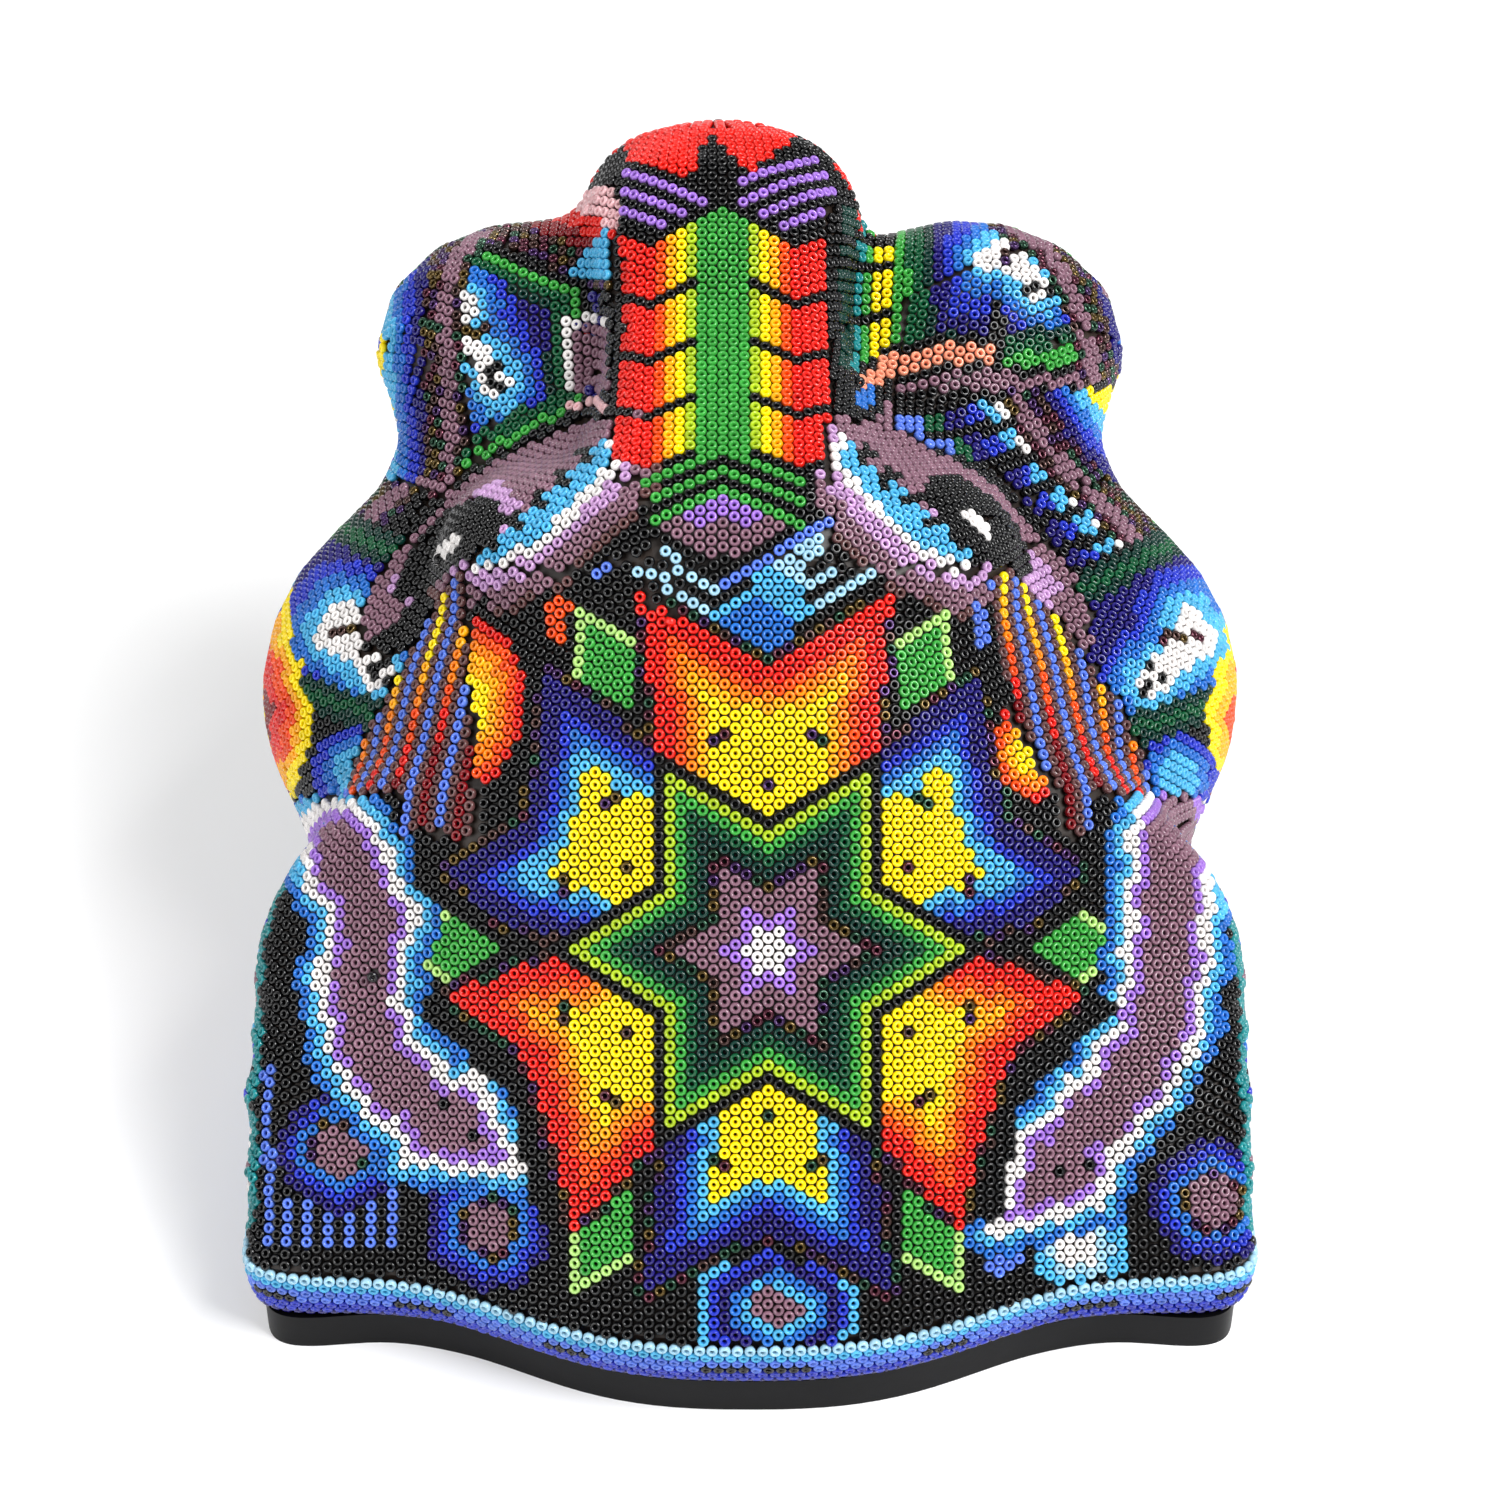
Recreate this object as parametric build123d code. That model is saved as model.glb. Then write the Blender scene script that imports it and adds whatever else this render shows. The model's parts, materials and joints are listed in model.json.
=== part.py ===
from build123d import *
import os
from math import cos, radians, sin

import numpy as np

# A beaded big-cat head standing on the flat cut of its neck.
# Millimetres. +Z is up, the face looks along -Y, the origin is at the middle of the footprint's
# bounding box, on the table. Inside this file the head is laid out in its own directions:
# side (to the animal's right), forward (from the nape towards the nose) and up.

# --- driving sizes -------------------------------------------------------------------------
plinth_height = 7.5
plinth_inset = 2.5
band_height = 12.5
band_tuck = 3.0
bead_height = 1.45
wax_thickness = 1.2
core_wall = 6.0

nape_slope = 50.0
nape_half_width = 53.0
nape_top_half_width = 38.0
nape_depth = 66.0
nape_length = 131.0
nape_squareness = 2.6

wing_half_width = 88.5
wing_setback = 12.0
wing_thickness = 52.0
wing_top = 97.0
wing_shoulder = 37.0
wing_edge = 7.0
wing_sweep = 0.40
wing_taper = 0.16

head_lean = 4.5
nose_lean = 6.0

crown_rise, crown_depth = 93.0, 40.0
crown_radii = (68.5, 61.0, 38.0)

neck_centre, neck_radii = (0, 62, 12), (74, 46, 55)
throat_low, throat_low_radius = (0, 78, 40), 40.0
throat_high, throat_high_radius = (0, 128, 86), 44.0
jowl_low, jowl_low_radius = (40, 84, 20), 34.0
jowl_high, jowl_high_radius = (48, 128, 58), 36.0
bridge_centre, bridge_half, bridge_edge, bridge_slope = (0, 135.5, 119.5), (21.5, 48, 21), 10.0, 15.8
brow_centre, brow_radii, brow_roll = (26, 102, 117.5), (17, 13, 8), -24.0
eye_centre, eye_radii = (36, 112, 105.5), (15, 16, 13)
nose_centre, nose_radii = (0, 168, 135), (25, 23, 21)
muzzle_centre, muzzle_radii = (0, 146, 91), (61, 40, 36)
pad_centre, pad_radii = (40, 166, 111.5), (30.5, 24, 25)
cheek_centre, cheek_radii = (55, 128, 61), (37, 42, 36)
chin_centre, chin_radii = (0, 157, 65), (36, 25, 23)

star_side, star_rise = 3.0, 68.0
star_reach = 35.0
star_notch = 20.5
petal_corner, petal_horn, petal_dip = 38.0, 62.0, 51.0
petal_corner_turn, petal_horn_turn = 27.0, 20.5

# --- how the skin is sampled ---------------------------------------------------------------
spokes = 60
band_shares = (0.0, 0.1, 0.25, 0.5, 0.75)
fan_steps = 16
cap_angles = (84, 78, 72, 66, 60, 54, 48, 42, 36, 30, 24, 18, 12, 6, 2)
spine_pivot_forward = 140.0
spine_radius = 82.0
spine_end_slope = 18.0
band_top = plinth_height + band_height

SLOPE_RUN = cos(radians(nape_slope))
SLOPE_RISE = sin(radians(nape_slope))


# --- soft unions of plain masses -----------------------------------------------------------
def blend(a, b, reach):
    """Union of two distance fields, rounded where they meet."""
    h = np.maximum(reach - np.abs(a - b), 0) / reach
    return np.minimum(a, b) - h * h * reach / 4


def trim(a, b, reach):
    """Intersection of two distance fields, rounded where they meet."""
    return -blend(-a, -b, reach)


def turn(a, b, degrees):
    """Turn the pair of coordinates a, b by an angle."""
    c, s = cos(radians(degrees)), sin(radians(degrees))
    return a * c + b * s, -a * s + b * c


def egg(point, centre, radii, roll=0.0):
    """Distance field of an ellipsoid."""
    side, forward, up = (p - c for p, c in zip(point, centre))
    if roll:
        side, up = turn(side, up, roll)
    k0 = np.sqrt(sum((v / r) ** 2 for v, r in zip((side, forward, up), radii)))
    k1 = np.sqrt(sum((v / r ** 2) ** 2 for v, r in zip((side, forward, up), radii))) + 1e-9
    return k0 * (k0 - 1) / k1


def bar(point, centre, half, edge, slope):
    """Distance field of a box with rounded edges, its length raised by slope degrees."""
    side, forward, up = (p - c for p, c in zip(point, centre))
    forward, up = turn(forward, up, slope)
    gaps = [np.abs(v) - (h - edge) for v, h in zip((side, forward, up), half)]
    outside = np.sqrt(sum(np.maximum(g, 0) ** 2 for g in gaps))
    return outside + np.minimum(np.maximum(np.maximum(gaps[0], gaps[1]), gaps[2]), 0) - edge


def limb(point, low, low_radius, high, high_radius):
    """Distance field of a round limb between two centres."""
    axis = np.subtract(high, low)
    offset = [p - c for p, c in zip(point, low)]
    along = np.clip(sum(o * a for o, a in zip(offset, axis)) / float(axis @ axis), 0, 1)
    apart = np.sqrt(sum((o - along * a) ** 2 for o, a in zip(offset, axis)))
    return apart - (low_radius + (high_radius - low_radius) * along)


def nape_coordinates(forward, up):
    """Distance up the nape's slope, and depth under its surface."""
    height = up - band_top
    return forward * SLOPE_RUN + height * SLOPE_RISE, forward * SLOPE_RISE - height * SLOPE_RUN


def nape_panel(side, rise, depth):
    """The raised back of the neck, which carries the star."""
    narrowing = np.clip((rise - 72) / 58, 0, 1)
    half_width = nape_half_width - (nape_half_width - nape_top_half_width) * narrowing
    middle = nape_depth / 2
    n = nape_squareness
    section = ((side / half_width) ** n + (np.abs(depth - middle) / middle) ** n) ** (1 / n)
    return trim((section - 1) * middle * 0.85, rise - nape_length, 26)


def wings(side, rise, depth):
    """The flared corners of the neck, set back from the nape panel."""
    swept = depth - wing_sweep * np.maximum(side - 50, 0) * np.clip((rise - 20) / 50, 0, 1)
    width = side + wing_taper * np.maximum(swept - 24, 0)
    across = width - (wing_half_width - wing_shoulder)
    half_rise = 80.0
    along = np.abs(rise - (wing_top - half_rise)) - (half_rise - wing_shoulder)
    outline = np.sqrt(np.maximum(across, 0) ** 2 + np.maximum(along, 0) ** 2)
    outline = outline + np.minimum(np.maximum(across, along), 0) - wing_shoulder
    slab = np.abs(swept - wing_setback - wing_thickness / 2) - wing_thickness / 2
    a, b = outline + wing_edge, slab + wing_edge
    return np.sqrt(np.maximum(a, 0) ** 2 + np.maximum(b, 0) ** 2) + np.minimum(np.maximum(a, b), 0) - wing_edge


def head_field(point):
    """Distance field of the whole beaded head, which is symmetric but for a slight lean."""
    side, forward, up = point
    rise, depth = nape_coordinates(forward, up)
    leaning = np.abs(side + head_lean * np.clip((rise - 60) / 90, 0, 1))
    upright = np.abs(side)
    skull = (leaning, forward, up)
    face = (upright, forward, up)
    field = blend(nape_panel(leaning, rise, depth),
                  egg((leaning, rise, depth), (0, crown_rise, crown_depth), crown_radii), 12)
    field = blend(field, wings(upright, rise, depth), 12)
    field = blend(field, egg(face, neck_centre, neck_radii), 14)
    field = blend(field, limb(face, throat_low, throat_low_radius, throat_high, throat_high_radius), 20)
    field = blend(field, limb(face, jowl_low, jowl_low_radius, jowl_high, jowl_high_radius), 14)
    field = blend(field, egg(skull, eye_centre, eye_radii), 8)
    field = blend(field, egg(skull, brow_centre, brow_radii, brow_roll), 9)
    field = blend(field, bar(skull, bridge_centre, bridge_half, bridge_edge, bridge_slope), 10)
    snout = blend(egg(face, muzzle_centre, muzzle_radii), egg(face, pad_centre, pad_radii), 12)
    snout = blend(snout, egg(face, cheek_centre, cheek_radii), 20)
    snout = blend(snout, egg(face, chin_centre, chin_radii), 8)
    field = blend(field, snout, 7)
    nose_side = np.abs(side + nose_lean)
    return blend(field, egg((nose_side, forward, up), nose_centre, nose_radii), 12)


# --- rings of points round the head, from the neck's cut to the upper lip --------------------
def tuck(up):
    """How far the band is drawn in under its widest line, at a height."""
    t = min(max((band_top - up) / band_height, 0), 1)
    return band_tuck * (1 - (1 - t ** 2) ** 0.5)


def stations():
    """Origin, heading, cone angle and tuck of every ring."""
    rows = []
    for share in band_shares:
        up = plinth_height + band_height * share
        rows.append(((0, spine_pivot_forward - spine_radius, up), 90.0, 90.0, tuck(up)))
    for step in range(fan_steps):
        share = step / (fan_steps - 1)
        heading = 90 - (90 - spine_end_slope) * share
        radius = spine_radius - 4 * share
        origin = (0, spine_pivot_forward - radius * sin(radians(heading)),
                  band_top + radius * cos(radians(heading)))
        rows.append((origin, heading, 90.0, 0.0))
    for cone in cap_angles:
        rows.append((rows[-1][0], spine_end_slope, float(cone), 0.0))
    return rows


def directions(station):
    """Heading of one station, and the directions of its rays."""
    _, heading, cone, _ = station
    ahead = np.array([0, cos(radians(heading)), sin(radians(heading))])
    back = np.array([0, -sin(radians(heading)), cos(radians(heading))])
    turns = np.linspace(0, 2 * np.pi, spokes, endpoint=False)
    spoke = np.outer(np.sin(turns), [1, 0, 0]) + np.outer(np.cos(turns), back)
    return ahead, sin(radians(cone)) * spoke + cos(radians(cone)) * ahead


def reach_of(station, inset):
    """How far each ray of one station runs before it comes within the inset of the surface."""
    origin, _, _, tucked = station
    _, rays = directions(station)

    def outside(reach):
        points = np.array(origin) + rays * np.asarray(reach)[:, None]
        field = head_field((points[:, 0], points[:, 1], np.maximum(points[:, 2], band_top)))
        return field + tucked + inset > 0

    steps = np.arange(4, 160, 1.5)
    crossed = np.array([outside(np.full(spokes, s)) for s in steps])
    first = crossed.argmax(axis=0)
    near, far = steps[first - 1], steps[first]
    for _ in range(22):
        middle = (near + far) / 2
        out = outside(middle)
        far = np.where(out, middle, far)
        near = np.where(out, near, middle)
    return near


def ring(station, inset):
    """Points of one ring, inset under the head's surface."""
    ahead, rays = directions(station)
    reach = np.minimum(reach_of(station, inset), reach_of(station, 0) - inset)
    points = np.array(station[0]) + rays * reach[:, None]
    if station[2] == cap_angles[-1]:
        centre = points.mean(axis=0)
        points = points - np.outer((points - centre) @ ahead, ahead)
    return points


# --- the four skins, one inside the other ----------------------------------------------------
def skin_rings(inset):
    return [ring(station, inset) for station in stations()]


bead_rings = skin_rings(0)
wax_rings = skin_rings(bead_height)
core_rings = skin_rings(bead_height + wax_thickness)
hollow_rings = skin_rings(bead_height + wax_thickness + core_wall)

all_points = np.concatenate(bead_rings)
middle_forward = (all_points[:, 1].min() + all_points[:, 1].max()) / 2


def place(side, forward, up):
    """A point of the head's own layout in the part's frame."""
    return Vector(-float(side), middle_forward - float(forward), float(up))


# --- patches of skin between two sets of rings -------------------------------------------------
# The rings are cut at the same few spokes all the way up, so every patch ends on lines that its
# neighbours share. Spokes count from the back's midline, to the animal's right.
seams = (4, 9, 11, 13, 20, 26)
cuts = sorted([*seams, *[spokes - s for s in seams]])
sectors = list(zip(cuts, cuts[1:] + [cuts[0] + spokes]))


def arc(points, sector):
    """The part of a ring between two of its cuts."""
    first, last = sector
    on_arc = [place(*points[k % spokes]) for k in range(first, last + 1)]
    before = place(*points[(first - 1) % spokes])
    after = place(*points[(last + 1) % spokes])
    return Edge.make_spline(on_arc, tangents=[on_arc[1] - before, after - on_arc[-2]])


def line(a, b):
    return Edge.make_line(place(*a), place(*b))


def between(first, second):
    return Face.make_surface_from_curves(first, second)


def skin_patch(outer, inner, cells):
    """Closed solid between two skins, over a set of cells. A cell is a ring's number and a sector."""
    faces = []
    for level, sector in cells:
        first, last = (spoke % spokes for spoke in sector)
        number = sectors.index(sector)
        ahead, behind = sectors[(number + 1) % len(sectors)], sectors[number - 1]
        for skin in (outer, inner):
            faces.append(between(arc(skin[level], sector), arc(skin[level + 1], sector)))
        for edge_level, beyond in ((level, level - 1), (level + 1, level + 1)):
            if (beyond, sector) not in cells and edge_level < len(outer) - 1:
                faces.append(between(arc(outer[edge_level], sector), arc(inner[edge_level], sector)))
        for spoke, beyond in ((first, behind), (last, ahead)):
            if (level, beyond) not in cells:
                faces.append(between(line(outer[level][spoke], inner[level][spoke]),
                                     line(outer[level + 1][spoke], inner[level + 1][spoke])))
    if any(level == len(outer) - 2 for level, _ in cells):
        for skin in (outer, inner):
            faces.append(Face(Wire([arc(skin[-1], sector) for sector in sectors])))
    return Solid(Shell(faces))


def cells_between(low, high, first, last):
    """Cells from one ring to another, between two cuts given as spokes right of the midline."""
    found = set()
    for sector in sectors:
        start = (sector[0] - first) % spokes
        if start < (last - first or spokes):
            found |= {(level, sector) for level in range(low, high)}
    return found


all_cells = cells_between(0, len(bead_rings) - 1, cuts[0], cuts[0])


# --- the pieces under the beads --------------------------------------------------------------
def plinth():
    """The black painted board that closes the neck and stands on the table."""
    origin, heading, cone, _ = stations()[0]
    outline = ring((origin, heading, cone, 0.0), plinth_inset)
    board = Face(Wire([Edge.make_spline([place(s, f, 0) for s, f, _ in outline], periodic=True)]))
    return extrude(board, plinth_height, dir=(0, 0, 1))


# --- the bead fields that lie on seams of the skin ---------------------------------------------
# Rings at which the fields change, counted from the neck's cut.
band_ring = len(band_shares)
wing_ring = band_ring + 3
fan_ring = band_ring + 9
brow_ring = band_ring + 13
bridge_ring = band_ring + 15
snout_ring = band_ring + 21
nose_ring = band_ring + 23
lip_ring = band_ring + 28
last_ring = len(bead_rings) - 1


def right_and_left(name, blocks):
    """The same field for both sides, from blocks of low ring, high ring, first cut and last cut."""
    right = set().union(*[cells_between(*block) for block in blocks])
    left = set().union(*[cells_between(low, high, -last, -first) for low, high, first, last in blocks])
    return [(name + "_right", right), (name + "_left", left)]


def fields_on_seams():
    """Names and cells of the bead fields, in the order in which they take their share."""
    rows = [("beads_base_band", cells_between(0, band_ring, 0, 0)),
            ("beads_upper_lip", cells_between(lip_ring, last_ring, 0, 0)),
            ("beads_nose_tip", cells_between(nose_ring, lip_ring, -9, 9)),
            ("beads_nose_bridge", cells_between(bridge_ring, nose_ring, -4, 4)),
            ("beads_brow", cells_between(brow_ring, bridge_ring, -4, 4))]
    rows += right_and_left("beads_eye", [(brow_ring, snout_ring, 4, 13)])
    rows += right_and_left("beads_fan", [(fan_ring, brow_ring, 11, 20)])
    rows += right_and_left("beads_wing", [(band_ring, wing_ring, 9, 20), (wing_ring, fan_ring, 13, 20)])
    rows += right_and_left("beads_muzzle", [(snout_ring, lip_ring, 4, 20)])
    rows += right_and_left("beads_cheek", [(brow_ring, snout_ring, 13, 26)])
    rows.append(("beads_nape", cells_between(band_ring, brow_ring, -13, 13)))
    rows.append(("beads_chin", cells_between(brow_ring, lip_ring, 20, 40)))
    rows.append(("beads_throat", all_cells))
    return rows


def bead_fields():
    """The bead skin cut into its fields, by name."""
    taken = set()
    pieces = {}
    for name, cells in fields_on_seams():
        pieces[name] = skin_patch(bead_rings, wax_rings, cells - taken)
        taken |= cells
    pieces.update(nape_fields(pieces.pop("beads_nape")))
    return pieces


# --- the star and its petals, cut out of the nape's field ---------------------------------------
cut_above, cut_below = 15.0, 35.0
nape_plane = Plane(origin=place(0, 0, band_top), x_dir=(-1, 0, 0), z_dir=(0, SLOPE_RISE, SLOPE_RUN))


def nape_prism(outline):
    """Prism square to the nape through an outline of side and rise."""
    face = nape_plane.offset(cut_above) * make_face(Polyline(*outline, close=True))
    return extrude(face, cut_above + cut_below, dir=-nape_plane.z_dir)


def about_star(reach, angle):
    """Side and rise of a point at a distance and a turn from straight up, round the star's centre."""
    return star_side + reach * sin(radians(angle)), star_rise + reach * cos(radians(angle))


def star_outline():
    """Six points, with a notch straight up."""
    outline = []
    for sixth in range(0, 360, 60):
        outline.append(about_star(star_notch, sixth))
        outline.append(about_star(star_reach, sixth + 30))
    return outline


def petal_outline(heading):
    """One two-horned petal, whose inner point fills a notch of the star."""
    half = [(star_reach, 30), (petal_corner, petal_corner_turn), (petal_horn, petal_horn_turn)]
    outline = [about_star(star_notch, heading)]
    outline += [about_star(reach, heading + angle) for reach, angle in half]
    outline.append(about_star(petal_dip, heading))
    outline += [about_star(reach, heading - angle) for reach, angle in reversed(half)]
    return outline


def nape_fields(ground):
    """The nape's field shared out between the star, its petals and the ground round them."""
    pieces = {}
    outlines = {"beads_star": star_outline()}
    petals = ("top", "upper_right", "lower_right", "bottom", "lower_left", "upper_left")
    for number, name in enumerate(petals):
        outlines["beads_petal_" + name] = petal_outline(60 * number)
    for name, outline in outlines.items():
        prism = nape_prism(outline)
        pieces[name] = ground & prism
        ground = ground - prism
    pieces["beads_nape_ground"] = ground
    return pieces


def write(pieces):
    os.makedirs("parts", exist_ok=True)
    for name, piece in pieces.items():
        piece.label = name
        export_step(piece, f"parts/{name}.step")


pieces = {"plinth": plinth(),
          "core_shell": skin_patch(core_rings, hollow_rings, all_cells),
          "wax_coat": skin_patch(wax_rings, core_rings, all_cells)}
pieces.update(bead_fields())
for name, piece in pieces.items():
    print(f"{name:26s} solids {len(piece.solids())} volume {piece.volume:9.0f}")
write(pieces)
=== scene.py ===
"""Looks of a beaded big-cat head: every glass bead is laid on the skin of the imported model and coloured.

Lengths are millimetres until the meshes are made, in metres, at the end.
Part axes: +Z up, the nose points along -Y, the star on the nape faces +Y, the animal's right is -X.
"""

import json
from heapq import heappop, heappush
from math import cos, pi, radians, sin, sqrt

import bpy
import numpy as np
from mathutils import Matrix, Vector
from mathutils.bvhtree import BVHTree
from mathutils.kdtree import KDTree

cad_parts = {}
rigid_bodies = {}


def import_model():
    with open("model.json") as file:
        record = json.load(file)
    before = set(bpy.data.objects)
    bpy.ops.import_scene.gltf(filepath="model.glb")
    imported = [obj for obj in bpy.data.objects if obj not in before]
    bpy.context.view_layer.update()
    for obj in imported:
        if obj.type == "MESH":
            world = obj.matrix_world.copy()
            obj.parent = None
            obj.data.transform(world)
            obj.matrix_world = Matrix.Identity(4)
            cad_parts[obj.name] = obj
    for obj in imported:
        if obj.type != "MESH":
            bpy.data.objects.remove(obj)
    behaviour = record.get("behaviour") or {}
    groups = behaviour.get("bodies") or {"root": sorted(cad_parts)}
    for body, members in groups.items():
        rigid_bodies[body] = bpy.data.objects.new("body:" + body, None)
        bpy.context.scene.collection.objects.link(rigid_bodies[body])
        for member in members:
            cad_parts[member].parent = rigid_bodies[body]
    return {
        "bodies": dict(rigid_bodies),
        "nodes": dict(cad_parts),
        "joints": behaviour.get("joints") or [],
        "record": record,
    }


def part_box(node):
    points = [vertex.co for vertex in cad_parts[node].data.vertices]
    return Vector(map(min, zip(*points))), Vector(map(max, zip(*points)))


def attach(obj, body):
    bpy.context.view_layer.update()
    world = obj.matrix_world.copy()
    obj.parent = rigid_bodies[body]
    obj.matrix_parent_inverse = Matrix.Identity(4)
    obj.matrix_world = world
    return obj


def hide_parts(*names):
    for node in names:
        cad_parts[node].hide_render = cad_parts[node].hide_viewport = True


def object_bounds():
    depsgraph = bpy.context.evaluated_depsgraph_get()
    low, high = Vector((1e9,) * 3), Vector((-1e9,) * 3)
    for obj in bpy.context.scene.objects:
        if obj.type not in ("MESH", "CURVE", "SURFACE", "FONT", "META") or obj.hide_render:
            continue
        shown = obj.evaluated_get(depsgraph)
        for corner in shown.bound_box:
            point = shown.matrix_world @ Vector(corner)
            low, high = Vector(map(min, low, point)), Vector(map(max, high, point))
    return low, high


MM = 0.001

# --- beads ---
bead_width = 2.10
bead_hole = 0.80
bead_height = 1.45
pitch = 2.15
row_gap = pitch * sqrt(3) / 2
closest = 0.86 * pitch
beads_in_a_piece = 1600
bead_sides = 10
skin_reach = 1.2
filler_first_gap, filler_gap = 0.80 * pitch, 0.88 * pitch
set_in = 0.04

# --- how far hand-set beads stray from even ---
tilt_scatter = 0.045
width_scatter = 0.018
height_scatter = 0.03
tint_scatter = 0.07
even_reach = 4.6

# --- how the head lies in the frame ---
nape_slope = radians(50)
nape_foot = Vector((0, 95.7, 20))
star_side, star_rise = 3.0, 68.0
lean = -4.9

# --- the maker's view, in which the visible patterns are laid out ---
view_rise = 101.9
view_distance = 600.0
camera_lens = 85.06
left_eye_shift = 8.4

# --- the stage, in metres ---
floor_half = 4.0
floor_grey = 0.80
floor_glow, far_glow = 0.22, 1.0
glow_starts, glow_full = 0.35, 1.5
room_light, room_white = 0.36, 1.0
lamps = (("key", (-0.9, 0.5, 1.3), 0.8, 32), ("fill", (1.0, 0.9, 0.8), 1.2, 11),
         ("front", (0.3, -1.3, 0.7), 1.2, 7))

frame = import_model()
cad_low, cad_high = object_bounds()
draw = np.random.default_rng(7)

up_nape = Vector((0, -cos(nape_slope), sin(nape_slope)))
off_nape = Vector((0, sin(nape_slope), cos(nape_slope)))
view_centre = nape_foot + up_nape * view_rise
eye_point = view_centre + Vector((0, cos(radians(40)), sin(radians(40)))) * view_distance


# --- the skin the beads are laid on ---


def triangles_of(nodes):
    """Vertices in mm, triangles and node numbers of some CAD nodes together."""
    corners, triangles, owners = [], [], []
    count = 0
    for number, name in enumerate(nodes):
        mesh = frame["nodes"][name].data
        mesh.calc_loop_triangles()
        points = np.empty(len(mesh.vertices) * 3, np.float32)
        mesh.vertices.foreach_get("co", points)
        faces = np.empty(len(mesh.loop_triangles) * 3, np.int32)
        mesh.loop_triangles.foreach_get("vertices", faces)
        corners.append(points.reshape(-1, 3) / MM)
        triangles.append(faces.reshape(-1, 3) + count)
        owners.append(np.full(len(triangles[-1]), number))
        count += len(mesh.vertices)
    return np.concatenate(corners), np.concatenate(triangles), np.concatenate(owners)


class Skin:
    """The outer faces of the bead nodes, with a search for the nearest one."""

    def __init__(self, nodes):
        self.nodes = nodes
        corners, triangles, owners = triangles_of(nodes + ["wax_coat"])
        points = [Vector(p) for p in corners.tolist()]
        solid = BVHTree.FromPolygons(points, triangles.tolist(), all_triangles=True)
        outer = []
        for number in np.flatnonzero(owners < len(nodes)).tolist():
            a, b, c = (points[k] for k in triangles[number])
            normal = (b - a).cross(c - a)
            if normal.length < 1e-6:
                continue
            normal.normalize()
            start = (a + b + c) / 3 + normal * 0.2
            _, hit_normal, _, _ = solid.ray_cast(start, normal)
            if hit_normal is None or hit_normal.dot(normal) <= 0:
                outer.append(number)
        self.owner = owners[outer].tolist()
        self.tree = BVHTree.FromPolygons(points, triangles[outer].tolist(), all_triangles=True)

    def nearest(self, point):
        place, normal, number, gap = self.tree.find_nearest(point)
        return place, normal, self.owner[number], gap

    def from_outside(self, direction, height, centre):
        """Where a level ray that comes in from outside meets the skin."""
        start = Vector((direction.x * 300, centre + direction.y * 300, height))
        place, normal, number, _ = self.tree.ray_cast(start, -direction)
        return place, normal, self.owner[number]


class Grid:
    """Finds beads that lie too near a point."""

    def __init__(self, size):
        self.size = size
        self.cells = {}

    def cell(self, point):
        return tuple(int(v // self.size) for v in point)

    def add(self, point):
        self.cells.setdefault(self.cell(point), []).append(point)

    def free(self, point, gap):
        x, y, z = self.cell(point)
        for i in (x - 1, x, x + 1):
            for j in (y - 1, y, y + 1):
                for k in (z - 1, z, z + 1):
                    for other in self.cells.get((i, j, k), ()):
                        if (other - point).length_squared < gap * gap:
                            return False
        return True


# --- laying the beads ---
# A lattice site is a column and a place in it. The six neighbours go round clockwise from straight up.
around = ((0, 1), (1, 0), (1, -1), (0, -1), (-1, 0), (-1, 1))


def lattice_place(a, b):
    """Distance across and up from the lattice's first bead."""
    return a * row_gap, (b + a / 2) * pitch


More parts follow.
